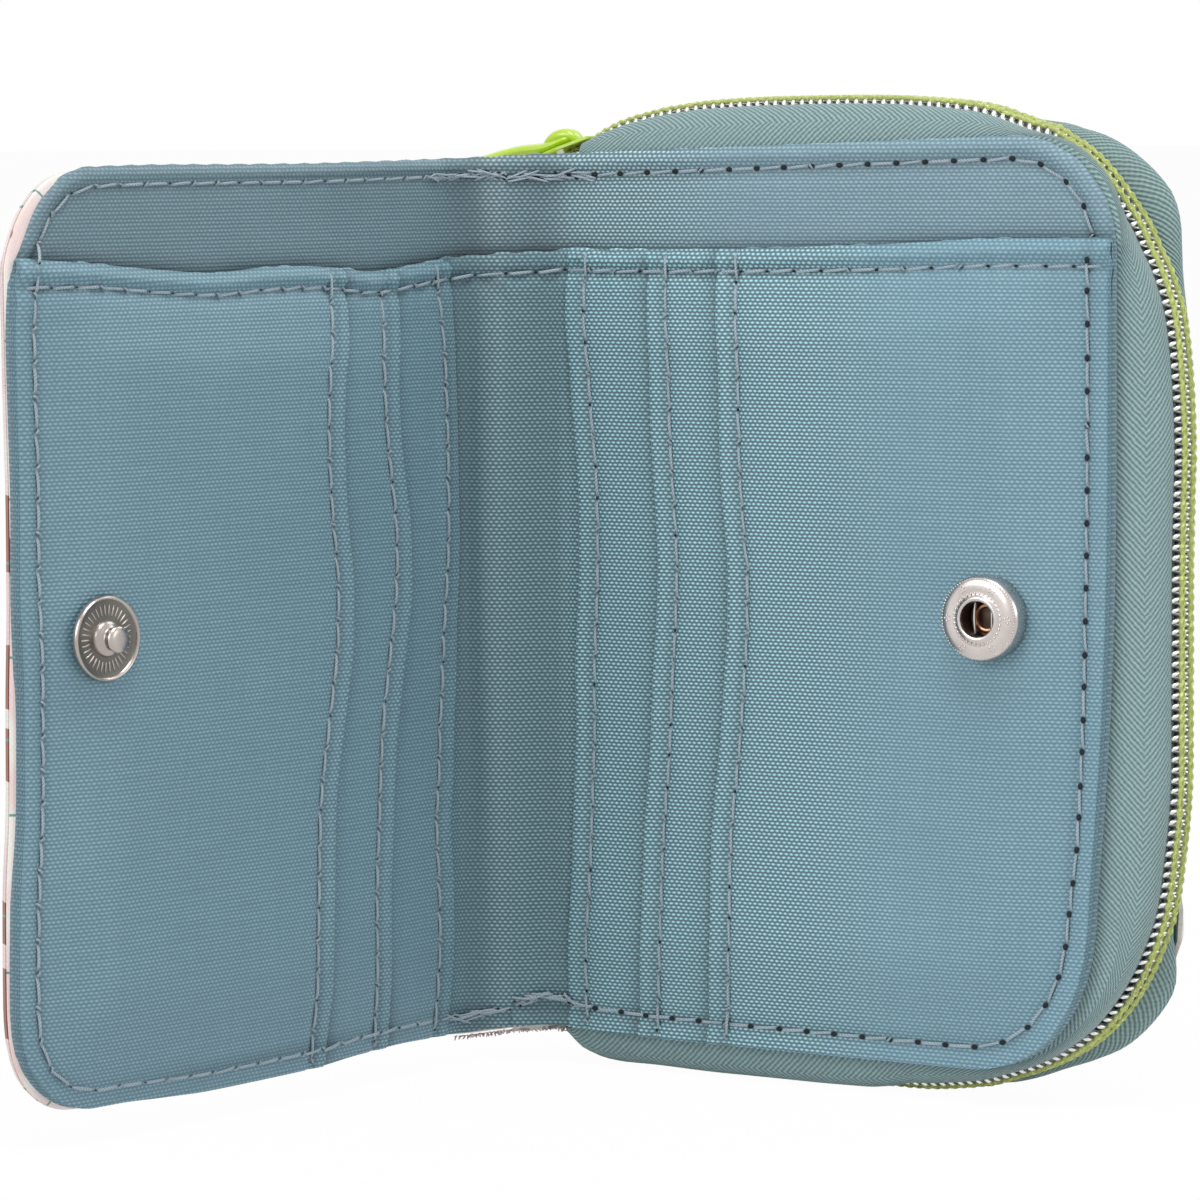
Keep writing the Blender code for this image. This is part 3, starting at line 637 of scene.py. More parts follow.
def make_board():
    """Grey board: felted fibres and flecks."""
    material, tree, shader, _, place = start_material("grey_board", 0.9)
    cloud = use(tree, mottle, {"Vector": place, "Scale": 250.0})
    dress(tree, shader,
          blend_colours(tree, cloud["Fine"], (0.30, 0.29, 0.27), (0.52, 0.51, 0.48)),
          even(tree, cloud["Slow"], 0.8, 0.95), cloud["Fine"], 0.3, 0.1 * mm)
    return material


grey_board = make_board()
print("metals:", nickel.name, copper.name)


# %% [markdown]
# The outside is a printed, coated cotton.  The print here is a plain one of thin crossing lines
# over cream and rose, with russet dabs: a few clouds and cells with hard edges do it, and a fine
# weave and a thin clear coat lie over all of it.

# %% Printed cover cloth
def lines(tree, value, spacing, width):
    """A mask of thin parallel lines."""
    way = work(tree, 'PINGPONG', work(tree, 'ADD', value, 1.0), spacing / 2)
    return work(tree, 'LESS_THAN', way, width / 2)


def make_print():
    material, tree, shader, thread, _ = start_material("printed_cover", 0.45, coat=0.25)
    threads = use(tree, weave, {"Vector": thread, "Across": 0.3 * mm, "Up": 0.3 * mm})
    cloud = use(tree, mottle, {"Vector": thread, "Scale": 55.0})
    shaken = put(tree, "VectorMath", {0: thread, 1: put(tree, "VectorMath", {
        0: put(tree, "TexNoise", {"Vector": thread, "Scale": 260.0}).outputs["Color"],
        1: (0.0035, 0.0035, 0)}, operation='MULTIPLY').outputs[0]}).outputs[0]
    cells = put(tree, "TexVoronoi", {"Vector": shaken, "Scale": 85.0, "Randomness": 1.0})
    ground = blend_colours(tree, put(tree, "MapRange", {"Value": cloud["Slow"],
                                                        "From Min": 0.47, "From Max": 0.53}
                                     ).outputs[0], (0.86, 0.82, 0.77), (0.82, 0.66, 0.64))
    dabs = work(tree, 'LESS_THAN', cells.outputs["Distance"], 0.36)
    chosen = work(tree, 'GREATER_THAN', put(tree, "SeparateColor", {
        "Color": cells.outputs["Color"]}).outputs[0], 0.62)
    colour = blend_colours(tree, work(tree, 'MULTIPLY', dabs, chosen), ground,
                           blend_colours(tree, cloud["Fine"], (0.20, 0.045, 0.025),
                                         (0.34, 0.12, 0.055)))
    apart = put(tree, "SeparateXYZ", {"Vector": thread}).outputs
    grid = work(tree, 'MAXIMUM', lines(tree, apart["X"], 17 * mm, 0.28 * mm),
                lines(tree, apart["Y"], 19 * mm, 0.28 * mm))
    grid = work(tree, 'MULTIPLY', grid, work(tree, 'GREATER_THAN', cloud["Fine"], 0.42))
    colour = blend_colours(tree, grid, colour, (0.10, 0.33, 0.27))
    colour = blend_colours(tree, even(tree, threads["Height"], 0.16, 0.0), colour,
                           (0.12, 0.09, 0.08))
    dress(tree, shader, colour, even(tree, cloud["Fine"], 0.38, 0.55), threads["Height"], 0.5,
          0.03 * mm)
    return material


printed = make_print()
print("print made")

# %% [markdown]
# ## Folds and layers
# The lining and the pocket cloth run on from each half over half of the spine, so the two
# sheets meet in its middle.  Where a sheet is sewn down it is pressed flat, and in the free
# middle it puffs up.  These few functions say where the face of each layer is, and the stitches
# use the same ones, so thread always lies on cloth.

# %% A sheet's way over the fold
fold_angle = {"coin_case": spine_turn, "flap": flap_turn - spine_turn}
fold_softness, spine_middle = 2.4 * mm, spine_width / 2
fold_tables = {}


def fold_table(half):
    """The plan of a half and its share of the spine, as one smooth line."""
    if half not in fold_tables:
        way = np.linspace(-spine_middle - mm, 80 * mm, 2600)
        turn = fold_angle[half] * (1 - eased(way, -fold_softness, fold_softness))
        step = way[1] - way[0]
        out, deep = np.cumsum(np.cos(turn)) * step, np.cumsum(np.sin(turn)) * step
        out += fold_softness - np.interp(fold_softness, way, out)
        deep -= np.interp(fold_softness, way, deep)
        back = 1 - eased(way, -spine_middle, fold_softness)
        angle = fold_angle[half]
        out += back * (-spine_middle * math.cos(angle) - np.interp(-spine_middle, way, out))
        deep += back * (-spine_middle * math.sin(angle) - np.interp(-spine_middle, way, deep))
        fold_tables[half] = way, out, deep, turn
    return fold_tables[half]


def over_fold(half, along, depth):
    """Way out and depth of a point that lies at this depth on the folded line."""
    way, out, deep, turn = fold_table(half)
    angle = np.interp(along, way, turn)
    return (np.interp(along, way, out) - depth * np.sin(angle),
            np.interp(along, way, deep) + depth * np.cos(angle) + bow(half, along))


print("spine's middle at", [round(float(v[0]) / mm, 2)
                            for v in over_fold("flap", np.array([-spine_middle]), 0.0)])

# %% Edges, hem and card folds
def smooth_value(knots, places):
    """A smooth curve through a table, which never overshoots it."""
    x, y = np.array(knots).T
    slope = np.diff(y) / np.diff(x)
    product = slope[:-1] * slope[1:]
    both = np.where(product > 0, 2 * product / np.where(product > 0, slope[:-1] + slope[1:], 1),
                    0)
    tangent = np.concatenate((slope[:1], both, slope[-1:]))
    left = np.clip(np.searchsorted(x, places, side='right') - 1, 0, len(x) - 2)
    span = x[left + 1] - x[left]
    t = np.clip((places - x[left]) / span, 0, 1)
    return ((2 * t**3 - 3 * t**2 + 1) * y[left] + (t**3 - 2 * t**2 + t) * span * tangent[left]
            + (3 * t**2 - 2 * t**3) * y[left + 1] + (t**3 - t**2) * span * tangent[left + 1])


# The hem's height along the whole wallet, from the flap's edge (left) to the coin case's
hem_knots = [(place * mm, rise * mm) for place, rise in (
    (-87, 0.9), (-76, 0.1), (-64, -0.9), (-56, -1.35), (-48, -0.95), (-42, -0.9), (-36, -1.2),
    (-29, -1.85), (-21, -1.2), (-13.5, -0.5), (-6, 0.0), (-1, 0.1), (2.2, 0.55), (5.5, 0.2),
    (22, 0.4), (42, 1.0), (60, 1.8), (72, 1.85))]


def across_wallet(half, along):
    """One measure for both halves: 0 at the coin case's fold, negative over the spine."""
    return along if half == "coin_case" else -spine_width - along


def hem_height(half, along):
    level = smooth_value(hem_knots, across_wallet(half, np.asarray(along, dtype=float)))
    return foot + panel_height - hem_drop + level


card_seam = 2.45 * mm
edge_seam = {"coin_case": 2.5 * mm, "flap": 2.0 * mm}
stitch_pitch = 3.65 * mm
card_folds = {"coin_case": (2.3 * mm, 12.1 * mm, 22.3 * mm),
              "flap": (2.2 * mm, 11.2 * mm, 21.7 * mm)}
# How far each folded edge wanders off, every 6 mm from 5 mm above the floor upwards
card_drift = {"coin_case": (
    (-1.78, -1.59, -1.15, -.64, -.37, 0, .29, .22, .52, .77, .77, .47, -.19, -.63, -1.22, -1.04),
    (-1.68, -1.03, -.36, -.11, .17, .8, 1.23, 1.58, 2.09, 2.32, 1.97, 1.43, 1.07, .95, .48, .14),
    (-2.42, -1.64, -.88, -.7, -.51, .12, .8, 1.32, 1.87, 1.98, 1.45, .88, .7, .55, -.07, -.55)),
    "flap": (
    (.31, .13, .29, .36, .73, .06, -.2, -.76, -1.02, -1.56, -1.8, -1.8, -1.74, -1.49, -1.28,
     -1.13),
    (3.03, 3.45, 4.38, 4.45, 3.91, 3.36, 2.75, 1.73, .72, -.11, -.04, .82, 1.6, 1.75, .83, .13),
    (4.17, 4.35, 5.16, 4.99, 4.84, 4.45, 3.27, 1.91, .86, .75, 1.51, 2.13, 2.3, 1.92, .43, -.64))}
snap_out, snap_high = {"coin_case": 57.6 * mm, "flap": 62.3 * mm}, 55.5 * mm
outline = {"coin_case": (half_width - 0.5 * mm, (12.6 * mm, 17 * mm)),
           "flap": (half_width, (10.6 * mm, 9 * mm))}


def hem_stitch(half, along):
    """How far under the hem's top edge its seam runs."""
    place = across_wallet(half, np.asarray(along, dtype=float))
    return (2.35 + 0.65 * eased(place, 5 * mm, 75 * mm)
            + 0.5 * eased(-place, 74 * mm, 84 * mm)) * mm


def edge_gap(half, out, high, edge, radii):
    """Distance from a point of a panel to its nearest cut edge, round corners included."""
    top_radius, low_radius = radii
    top = panel_top(half, np.clip(out, 0, edge - top_radius), edge, top_radius)
    low = panel_low(half, np.clip(out, 0, edge - low_radius), edge, low_radius)
    gap = np.minimum(np.minimum(top - high, high - low), edge - out)
    for centre, radius, side in ((top - top_radius, top_radius, 1),
                                 (low + low_radius, low_radius, -1)):
        within = (out > edge - radius) & ((high - centre) * side > 0)
        gap = np.where(within, radius - np.hypot(out - (edge - radius), high - centre), gap)
    return gap


# Each inner face is drawn in a little at its outer edge, by the height above the floor
tuck_knots = {"coin_case": ((4.1, 1.0), (7.3, 1.4), (11, 2.0), (14, 2.3), (18, 2.5), (23.5, 2.25),
                            (33, 1.5), (45, 0.7), (60, 0.15), (75, 0), (110, 0)),
              "flap": ((4, 0.6), (7, 0), (11, -0.4), (16, -0.85), (27, -0.55), (38, 0.35),
                       (49, 0.55), (60, 0.25), (71, 0.45), (77, 0.35), (88, 0.15), (94, 0.6),
                       (96.3, 1.2), (98.3, 2.1), (101, 2.3), (110, 2.6)),
              "cover": ((4, -0.3), (11, -0.05), (16, -0.3), (27, -0.15), (38, 0.58), (49, 0.8),
                        (60, 1.2), (71, 1.3), (77, 1.2), (88, 1.05), (95, 1.0), (97, 1.2),
                        (99, 1.5), (110, 1.6))}
# The lower and upper edges rise and sink a little from the flap's edge (left) to the coin case's
low_lift = ((-87, 0), (-73, 0), (-66, -0.3), (-58, -0.6), (-40, -0.55), (-33, -0.2), (-25, -0.1),
            (-18, -0.3), (-13.5, -0.45), (-9, 0), (-5, 0.4), (-2, 0.5), (1, 0.3), (6, 0.1),
            (15, 0), (73, 0))
top_lift = ((-87, 0), (-68, 0), (-50, -0.3), (-35, -0.5), (-15, -0.5), (-8, -0.25), (-2, 0),
            (73, 0))
seam_arch = ((-88, 0), (-20, 0), (-13.5, -0.25), (-9, 0.1), (-7, 0.15), (-4.5, 0.6), (-2.3, 1.25),
             (-0.5, 0.95), (1.5, 0.25), (4, 0.15), (8, 0.1), (20, 0), (73, 0))


def tuck(half, out, high):
    return (smooth_value(tuck_knots[half], high / mm) * mm
            * eased(out, 40 * mm, 70 * mm))


def lift(half, along, high):
    place = across_wallet(half, along) / mm
    near_low = 1 - eased(high - foot, 0, 16 * mm)
    near_top = eased(high - foot - panel_height, -16 * mm, 0)
    return (smooth_value(low_lift, place) * near_low
            + smooth_value(top_lift, place) * near_top) * mm


def card_fold(half, index, high):
    """A card slot's folded edge isn't quite upright or straight."""
    knots = [(5 + 6 * row, drift) for row, drift in enumerate(card_drift[half][index])]
    return card_folds[half][index] + smooth_value(knots, np.asarray(high) / mm) * mm


def card_out(half, layer, along, high):
    """How far out a card slot reaches at this way from its own folded edge."""
    edge, start = outline[half][0], card_folds[half][layer - 1]
    fold_x = card_fold(half, layer - 1, high)
    return fold_x + along * (edge - fold_x) / (edge - start)


def dip(distance, width):
    return np.exp(-(distance / width) ** 2)


print("hem at", np.round(hem_height("flap", np.array([0, 0.036, 0.072])) / mm, 1), "mm")


# %% The face of each layer
def softness(half, out, high):
    """1 in the free middle of a pocket, 0 where it is sewn to the edge or the hem."""
    edge, radii = outline[half]
    gap = edge_gap(half, out, high, edge, radii)
    return eased(gap, 2 * mm, 13 * mm) * eased(hem_height(half, out) - high, 0.5 * mm, 11 * mm)


def valleys(half, along):
    """The cloth over the spine rises in its middle and sinks along both folds."""
    place = across_wallet(half, along)
    return (dip(place + 2.4 * mm, 2.2 * mm) + dip(place + 11.6 * mm, 2.2 * mm)
            - 0.8 * dip(place + 7.0 * mm, 2.2 * mm))


def broad_folds(half, along, high):
    """Slow swells, and upright gathers beside the spine."""
    place = across_wallet(half, along)
    swell = wander(place, high, 24 * mm, 3.0) * 0.5 * mm
    gathers = np.array([noise.noise(Vector((a / (2.2 * mm), b / (30 * mm), 8.0)))
                        for a, b in zip(place, high)])
    near = 1 - eased(np.abs(place + spine_middle), spine_middle, 2.4 * spine_middle)
    below = np.exp(-np.clip(hem_height(half, along) - high, 0, None) / (16 * mm))
    pleats = wander(place, high * 0.12, 3.1 * mm, 2.2) * 0.30 * mm * below
    return (swell * (1 - near) + gathers * 0.40 * mm * near + pleats * (1 - near)
            - valleys(half, along) * 0.40 * mm)


def layer_face(half, layer, along, high):
    """Depth of the face of a pocket layer, counted from the inner face of the lining."""
    edge, radii = outline[half]
    out = np.abs(along)
    gap = edge_gap(half, out, high, edge, radii)
    soft = softness(half, out, high)
    below = hem_height(half, along) - high
    roll = (0.13 + 0.13 * soft) * mm
    face = -(0.50 + 0.26 * layer) * mm - soft * (0.10 + 0.52 * layer) * mm - roll
    face -= broad_folds(half, along, high) * (0.30 + 0.70 * soft)
    face += 0.34 * mm * dip(gap - edge_seam[half], 0.7 * mm) * (gap > 0)
    if half == "flap":
        face += 0.62 * mm * np.clip(1 - gap / (1.8 * mm), 0, 1) ** 1.5
    seam = hem_stitch(half, along)
    face += 0.34 * mm * dip(below - seam, 0.75 * mm)
    face -= 0.36 * mm * dip(below - 1.3 * mm, 0.9 * mm)
    face -= 0.16 * mm * dip(below - 4.6 * mm, 1.1 * mm)
    if layer:
        past = along - card_fold(half, layer - 1, high)
        face += 0.30 * mm * dip(past - card_seam, 0.55 * mm)
        face -= 0.34 * mm * np.exp(-np.clip(past, 0, None) / (1.5 * mm)) * (0.3 + 0.7 * soft)
    if layer < 3:
        before = card_fold(half, layer, high) - along
        face += 0.30 * mm * dip(before - 0.3 * mm, 0.7 * mm) * soft
    puff = np.cos(2 * math.pi * across_wallet(half, along) / stitch_pitch)
    face -= 0.13 * mm * puff * dip(below - seam, 1.9 * mm)
    pressed = dip(np.hypot(along - snap_out[half], high - snap_high), 5.5 * mm)
    return face + ((-3.12 + 0.28 * (3 - layer)) * mm - face) * pressed


def top_layer(half, out, high):
    return sum((out > card_fold(half, index, high)).astype(int) for index in range(3))


def stacked_face(half, along, high):
    """The face that shows: that of the highest layer at each place."""
    face = layer_face(half, 0, along, high)
    for layer in (1, 2, 3):
        face = np.where(top_layer(half, along, high) >= layer,
                        layer_face(half, layer, along, high), face)
    return face


def spine_shade(half, along):
    """Little light reaches the cloth between the two folds."""
    place = across_wallet(half, along)
    return (0.38 * (1 - eased(np.abs(place + spine_middle), 5 * mm, 9 * mm))
            + 0.10 * dip(place + 10.4 * mm, 2.6 * mm) + 0.10 * dip(place + 2.4 * mm, 2.8 * mm))


def flap_shade(half, along, amount):
    """The flap stands in its own shade, from the spine outwards."""
    return amount * eased(-across_wallet(half, along), spine_middle, 18 * mm)


def pocket_painted_shade(half, layer):
    """Painted shade on a pocket layer: beside a fold, in a stitched groove, in a valley."""
    edge, radii = outline[half]

    def painted_shade(along, high):
        out = np.abs(along) if not layer else along
        below = hem_height(half, out) - high
        dark = 0.22 * dip(below - hem_stitch(half, out) - 0.3 * mm, 0.5 * mm)
        dark += 0.30 * dip(edge_gap(half, out, high, edge, radii) - edge_seam[half], 0.5 * mm)
        if layer:
            dark += 0.30 * dip(out - card_fold(half, layer - 1, high) - card_seam, 0.5 * mm)
        if layer < 3:
            before = card_fold(half, layer, high) - along
            dark += 0.50 * np.exp(-np.clip(before, 0, None) / (0.9 * mm)) * (before > -mm)
        return dark + spine_shade(half, along) + flap_shade(half, along, 0.14)
    return painted_shade


# Painted shade on the lining: along the hem, in the seam's groove, over the spine and on the
# flap.
def lining_painted_shade(half):
    edge, radii = outline[half]

    def painted_shade(along, high):
        above = high - hem_height(half, along)
        return (0.8 * np.exp(-np.abs(above) / (0.8 * mm))
                + 0.3 * dip(edge_gap(half, along, high, edge, radii) - edge_seam[half],
                            0.5 * mm)
                + spine_shade(half, along) + flap_shade(half, along, 0.31))
    return painted_shade


def near_fold(place, reach=1.5 * mm, step=0.35 * mm):
    return np.arange(place - reach, place + reach, step)


print("face at a snap:", round(float(stacked_face("coin_case", np.array([57.6 * mm]),
                                                  np.array([55.5 * mm]))[0]) / mm, 2))

# %% [markdown]
# ## Lining
# The inner face of each half is one cloth with its edge turned in, sewn all round a few
# millimetres from the edge.  It shows above the pocket's hem and round its corners.  One sheet
# goes from the outer edge over the fold to the middle of the spine.

# %% Lining sheets
def panel_columns(half, start, step, *extra):
    edge, radii = outline[half]
    return spread(start, edge, step, *round_columns(edge, radii), *extra)


def lining_depth(half, along, high):
    """Depth of the lining's middle: a soft roll at its edge, then the seam's groove."""
    edge, radii = outline[half]
    out, place = np.clip(along, 0, None), across_wallet(half, along)
    gap = edge_gap(half, out, high, edge, radii)
    depth = 0.2 * mm + 0.30 * mm * dip(gap - edge_seam[half], 0.6 * mm)
    depth -= 0.26 * mm * dip(gap - 1.3 * mm, 0.85 * mm)
    rolled = np.clip(1 - gap / (0.5 * mm), 0, 1)
    depth += 0.55 * mm * (1 - np.sqrt(1 - rolled ** 2 * 0.999))
    inner = eased(gap, mm, 6 * mm)
    depth -= 0.32 * mm * wander(place, high, 20 * mm, 1.5) * inner
    depth -= 0.14 * mm * wander(place, high * 0.4, 4 * mm, 5.5) * inner
    return depth + 0.30 * mm * valleys(half, along) * inner


def lining_place(half):
    edge, radii = outline[half]

    def place(along, up):
        out = np.clip(along, 0, None)
        low, top = panel_low(half, out, edge, radii[1]), panel_top(half, out, edge, radii[0])
        high = low + (top - low) * up / panel_height
        x, y = over_fold(half, along, lining_depth(half, along, high))
        x = x - tuck(half, out, high)
        ripple = np.sin(2 * math.pi * across_wallet(half, along) / stitch_pitch)
        high = high + 0.07 * mm * ripple * dip(top - high, 1.5 * mm)
        return x, y, high + lift(half, along, high)
    return place


def fold_ends(half, reach=2.6 * mm):
    """Where a sheet starts and stops turning with the spine."""
    ends = []
    for along in (reach, -reach):
        x, y = over_fold(half, np.array([along]), 0.0)
        ends.append(stand[half] @ Vector((float(x[0]), float(y[0]), foot + panel_height / 2)))
    return ends


rows = spread(0, panel_height, 1.3 * mm, 0.5 * mm, 1.0 * mm, 2.2 * mm, panel_height - 0.5 * mm,
              panel_height - 1.0 * mm, panel_height - 2.2 * mm,
              *np.arange(panel_height - 14.5 * mm, panel_height - 8.5 * mm, 0.45 * mm))
for half, side, nodes in (("coin_case", "right", ("front_lining", "spine_lining")),
                          ("flap", "left", ("flap_lining",))):
    columns = panel_columns(half, -spine_middle, 1.15 * mm)
    sheet = lay_cloth("lining_" + side, half, columns, rows, lining_place(half), 0.25 * mm,
                      lining_cloth, painted_shade=lining_painted_shade(half))
    settle(sheet, half, nodes, fold_ends(half))


# %% [markdown]
# ## Bill pocket
# The bill pocket's front wall has its top edge turned over and sewn down 3 mm below.  The sheet
# runs up the face, round the edge and a little way down behind it, so the hem is a real fold
# with a soft round edge.  Beside the spine it gathers into upright folds.

# %% Pocket walls
hem_turn, hem_roll = 6 * mm, 0.27 * mm
wall_height = panel_height - hem_drop
straight_wall = wall_height - hem_roll


def wall_place(half):
    edge, radii = outline[half]

    def place(along, up):
        out = np.clip(along, 0, None)
        low = panel_low(half, out, edge, radii[1])
        turn = np.clip((up - straight_wall) / hem_roll, 0, math.pi)
        behind = np.clip(up - straight_wall - math.pi * hem_roll, 0, None)
        place_on = across_wallet(half, along)
        crest = hem_height(half, along) + 0.30 * mm * wander(place_on, 0 * along, 6 * mm, 4.0)
        crest += 0.12 * mm * np.cos(2 * math.pi * place_on / stitch_pitch)
        front = low + (crest - hem_roll - low) * np.clip(up / straight_wall, 0, 1)
        high = np.where(up > straight_wall, crest - hem_roll + hem_roll * np.sin(turn) - behind,
                        front)
        face = layer_face(half, 0, along, np.minimum(high, crest - hem_roll))
        x, y = over_fold(half, along, face + hem_roll * (1 - np.cos(turn)))
        return x - tuck(half, out, high), y, high + lift(half, along, high)
    return place


wall_rows = np.concatenate((
    spread(0, straight_wall, 1.3 * mm, 0.6 * mm, *near_fold(wall_height - 2.6 * mm)),
    straight_wall + hem_roll * np.linspace(0, math.pi, 7)[1:],
    straight_wall + hem_roll * math.pi + np.linspace(0, hem_turn, 5)[1:]))
for half, side, nodes in (("coin_case", "right", ("bill_wall_right", "bill_wall_spine")),
                          ("flap", "left", ("bill_wall_left",))):
    columns = panel_columns(half, -spine_middle, 0.9 * mm,
                            *near_fold(card_folds[half][0] - mm, 2.5 * mm, 0.4 * mm))
    sheet = lay_cloth("pocket_" + side, half, columns, wall_rows, wall_place(half), 0.2 * mm,
                      pocket_cloth, painted_shade=pocket_painted_shade(half, 0))
    settle(sheet, half, nodes, fold_ends(half))

# %% [markdown]
# ## Card slots
# Each slot is a layer whose edge towards the spine is folded under and top-stitched.  The layer
# starts behind its own fold, comes round it and runs out to the seam at the panel's edge, each
# one lying over the last.

# %% Card slots
card_turn, card_roll = 5.5 * mm, 0.26 * mm
round_card = card_roll * math.pi


def card_place(half, layer):
    edge, radii = outline[half]
    widest = edge - card_folds[half][layer - 1]

    def place(along, up):
        share = up / wall_height
        level = foot + share * wall_height
        fold_x = card_fold(half, layer - 1, level)
        soft = softness(half, fold_x, level)
        roll = (0.13 + 0.13 * soft) * mm
        turn = np.clip(along / card_roll, 0, math.pi)
        behind = np.clip(-along, 0, None)
        front = np.clip(along - round_card, 0, None)
        stretch = (edge - fold_x - roll) / (widest - round_card)
        out = fold_x + roll - roll * np.sin(turn) + behind + front * stretch
        out = np.minimum(out, edge)
        low = panel_low(half, out, edge, radii[1])
        hem = hem_height(half, out)
        high = low + share * (hem + 0.1 * mm - low)
        face = layer_face(half, layer, out, high)
        depth = face + roll * (1 + np.cos(turn)) * (along < round_card)
        depth += 0.45 * mm * (1 - eased(hem - high, 0, 0.9 * mm))
        return (out - tuck(half, out, high), depth + bow(half, out),
                high + lift(half, out, high))
    return place


for half, side in (("coin_case", "right"), ("flap", "left")):
    edge, radii = outline[half]
    for layer in (1, 2, 3):
        reach = edge - card_folds[half][layer - 1]
        ends = [out - card_folds[half][layer - 1] for out in round_columns(edge, radii[1:])]
        folds = near_fold(card_seam)
        if layer < 3:
            folds = np.concatenate((folds, near_fold(
                card_folds[half][layer] - card_folds[half][layer - 1], 4.5 * mm, 0.45 * mm)))
        columns = np.concatenate((np.linspace(-card_turn, 0, 6),
                                  card_roll * np.linspace(0, math.pi, 7)[1:],
                                  spread(round_card, reach, 1.1 * mm, *ends, *folds)[1:]))
        card_rows = spread(0, wall_height, 1.3 * mm, 0.6 * mm, wall_height - 0.3 * mm,
                           wall_height - 0.6 * mm, wall_height - 1.1 * mm,
                           *near_fold(wall_height - 2.6 * mm))
        shade = pocket_painted_shade(half, layer)
        slot = lay_cloth(f"slot_{side}_{layer}", half, columns, card_rows,
                         card_place(half, layer), 0.2 * mm, pocket_cloth,
                         painted_shade=lambda along, high: shade(
                             card_out(half, layer, along, high), high))
        settle(slot, half, [f"card_slot_{side}_{layer}"])

# %% [markdown]
# ## Printed outside
# One printed cloth goes over the flap and the spine.  Round the flap it is turned over the edge
# and caught under the lining, so a narrow band of print frames the inner side.  The coin case's
# back has its own panel, pinched to the seam beside the spine.

# %% The rim of a panel
def rim(half, edge, radii, start):
    """Points and outward directions along the top edge, the side and the lower edge."""
    top_radius, low_radius = radii
    reach, low_reach = edge - top_radius, edge - low_radius
    top = float(panel_top(half, np.array([reach]), edge, top_radius)[0])
    low = float(panel_low(half, np.array([low_reach]), edge, low_radius)[0])
    rows = [(out, float(panel_top(half, np.array([out]), edge, top_radius)[0]), 0, 1)
            for out in np.linspace(start, reach, 90)]
    for turn in np.linspace(math.pi / 2, 0, 30)[1:]:
        rows.append((reach + top_radius * math.cos(turn),
                     top - top_radius + top_radius * math.sin(turn),
                     math.cos(turn), math.sin(turn)))
    for high in np.linspace(top - top_radius, low + low_radius, 90)[1:]:
        rows.append((edge, high, 1, 0))
    for turn in np.linspace(0, -math.pi / 2, 40)[1:]:
        rows.append((low_reach + low_radius * math.cos(turn),
                     low + low_radius + low_radius * math.sin(turn),
                     math.cos(turn), math.sin(turn)))
    for out in np.linspace(low_reach, start, 90)[1:]:
        rows.append((out, float(panel_low(half, np.array([out]), edge, low_radius)[0]), 0, -1))
    return np.array(rows)


def lengths_of(points):
    return np.concatenate(([0], np.cumsum(np.hypot(*np.diff(points[:, :2], axis=0).T))))


def inset_rim(half, inset, start=0.0):
    edge, radii = outline[half]
    rows = rim(half, edge, radii, start)
    rows[:, 0] -= inset * rows[:, 2]
    rows[:, 1] -= inset * rows[:, 3]
    return rows


print("rim of the flap:", round(float(lengths_of(inset_rim("flap", 0))[-1]) / mm), "mm")

# %% Flap cover with its turned edge
cover_edge, cover_radii = half_width + 0.5 * mm, (11.1 * mm, 9.3 * mm)
cover_roll, cover_cloth = 0.95 * mm, 0.5 * mm


def cover_drop(out):
    """Along the top the lining stands a little above the cover."""
    return 0.5 * mm * (1 - eased(out, cover_edge - 10 * mm, cover_edge - 5 * mm))


def cover_depth(along):
    return 1.05 * mm + 1.0 * mm * eased(along, -2 * mm, 3 * mm)


def flap_cover_place(along, up):
    out = np.clip(along, 0, None)
    low = panel_low("flap", out, cover_edge, cover_radii[1])
    top = panel_top("flap", out, cover_edge, cover_radii[0]) - cover_drop(out)
    high = low + (top - low) * up / panel_height
    gap = np.minimum(edge_gap("flap", out, high, cover_edge, cover_radii),
                     np.minimum(top - high, high - low))
    rolled = np.clip(1 - gap / cover_roll, 0, 1)
    depth = cover_depth(along) - cover_roll * (1 - np.sqrt(1 - rolled ** 2 * 0.999))
    depth += 0.3 * mm * wander(along, high, 22 * mm, 6.5) * eased(gap, mm, 8 * mm)
    x, y = over_fold("flap", along, depth)
    return x - tuck("cover", out, high), y, high + lift("flap", along, high)


columns = spread(-spine_middle, cover_edge, 1.25 * mm, *round_columns(cover_edge, cover_radii))
cover_rows = spread(0, panel_height, 1.4 * mm, 0.3 * mm, 0.7 * mm, 1.2 * mm,
                    panel_height - 0.3 * mm, panel_height - 0.7 * mm, panel_height - 1.2 * mm)
sheet = lay_cloth("cover_left", "flap", columns, cover_rows, flap_cover_place, cover_cloth,
                  printed, outward=-1)
turned_rows = rim("flap", cover_edge, cover_radii, 0.6 * mm)
turned_way = lengths_of(turned_rows)


def turned_place(along, up):
    out, high, side, rise = (np.interp(along, turned_way, turned_rows[:, k]) for k in range(4))
    past = np.clip((up - math.pi / 2 * cover_roll) / mm, 0, None) * mm
    turn = np.clip(up / cover_roll, 0, math.pi / 2)
    inward = cover_roll * (1 - np.cos(turn)) + past
    depth = 1.1 * mm - (0.15 + 0.35 * np.abs(side)) * mm * np.sin(turn)
    high = high - inward * rise - (rise > 0) * cover_drop(out)
    out = out - inward * side
    return (out - tuck("cover", out, high), depth + bow("flap", out),
            high + lift("flap", out, high))


columns = np.linspace(0, turned_way[-1], 190)
turned_cross = np.linspace(0, math.pi / 2 * cover_roll + 1.0 * mm, 9)
turned = lay_cloth("turned_edge", "flap", columns, turned_cross, turned_place, cover_cloth,
                   printed, outward=-1, level=False)
join([sheet, turned])
settle(sheet, "flap", ["flap_cover"], fold_ends("flap"))


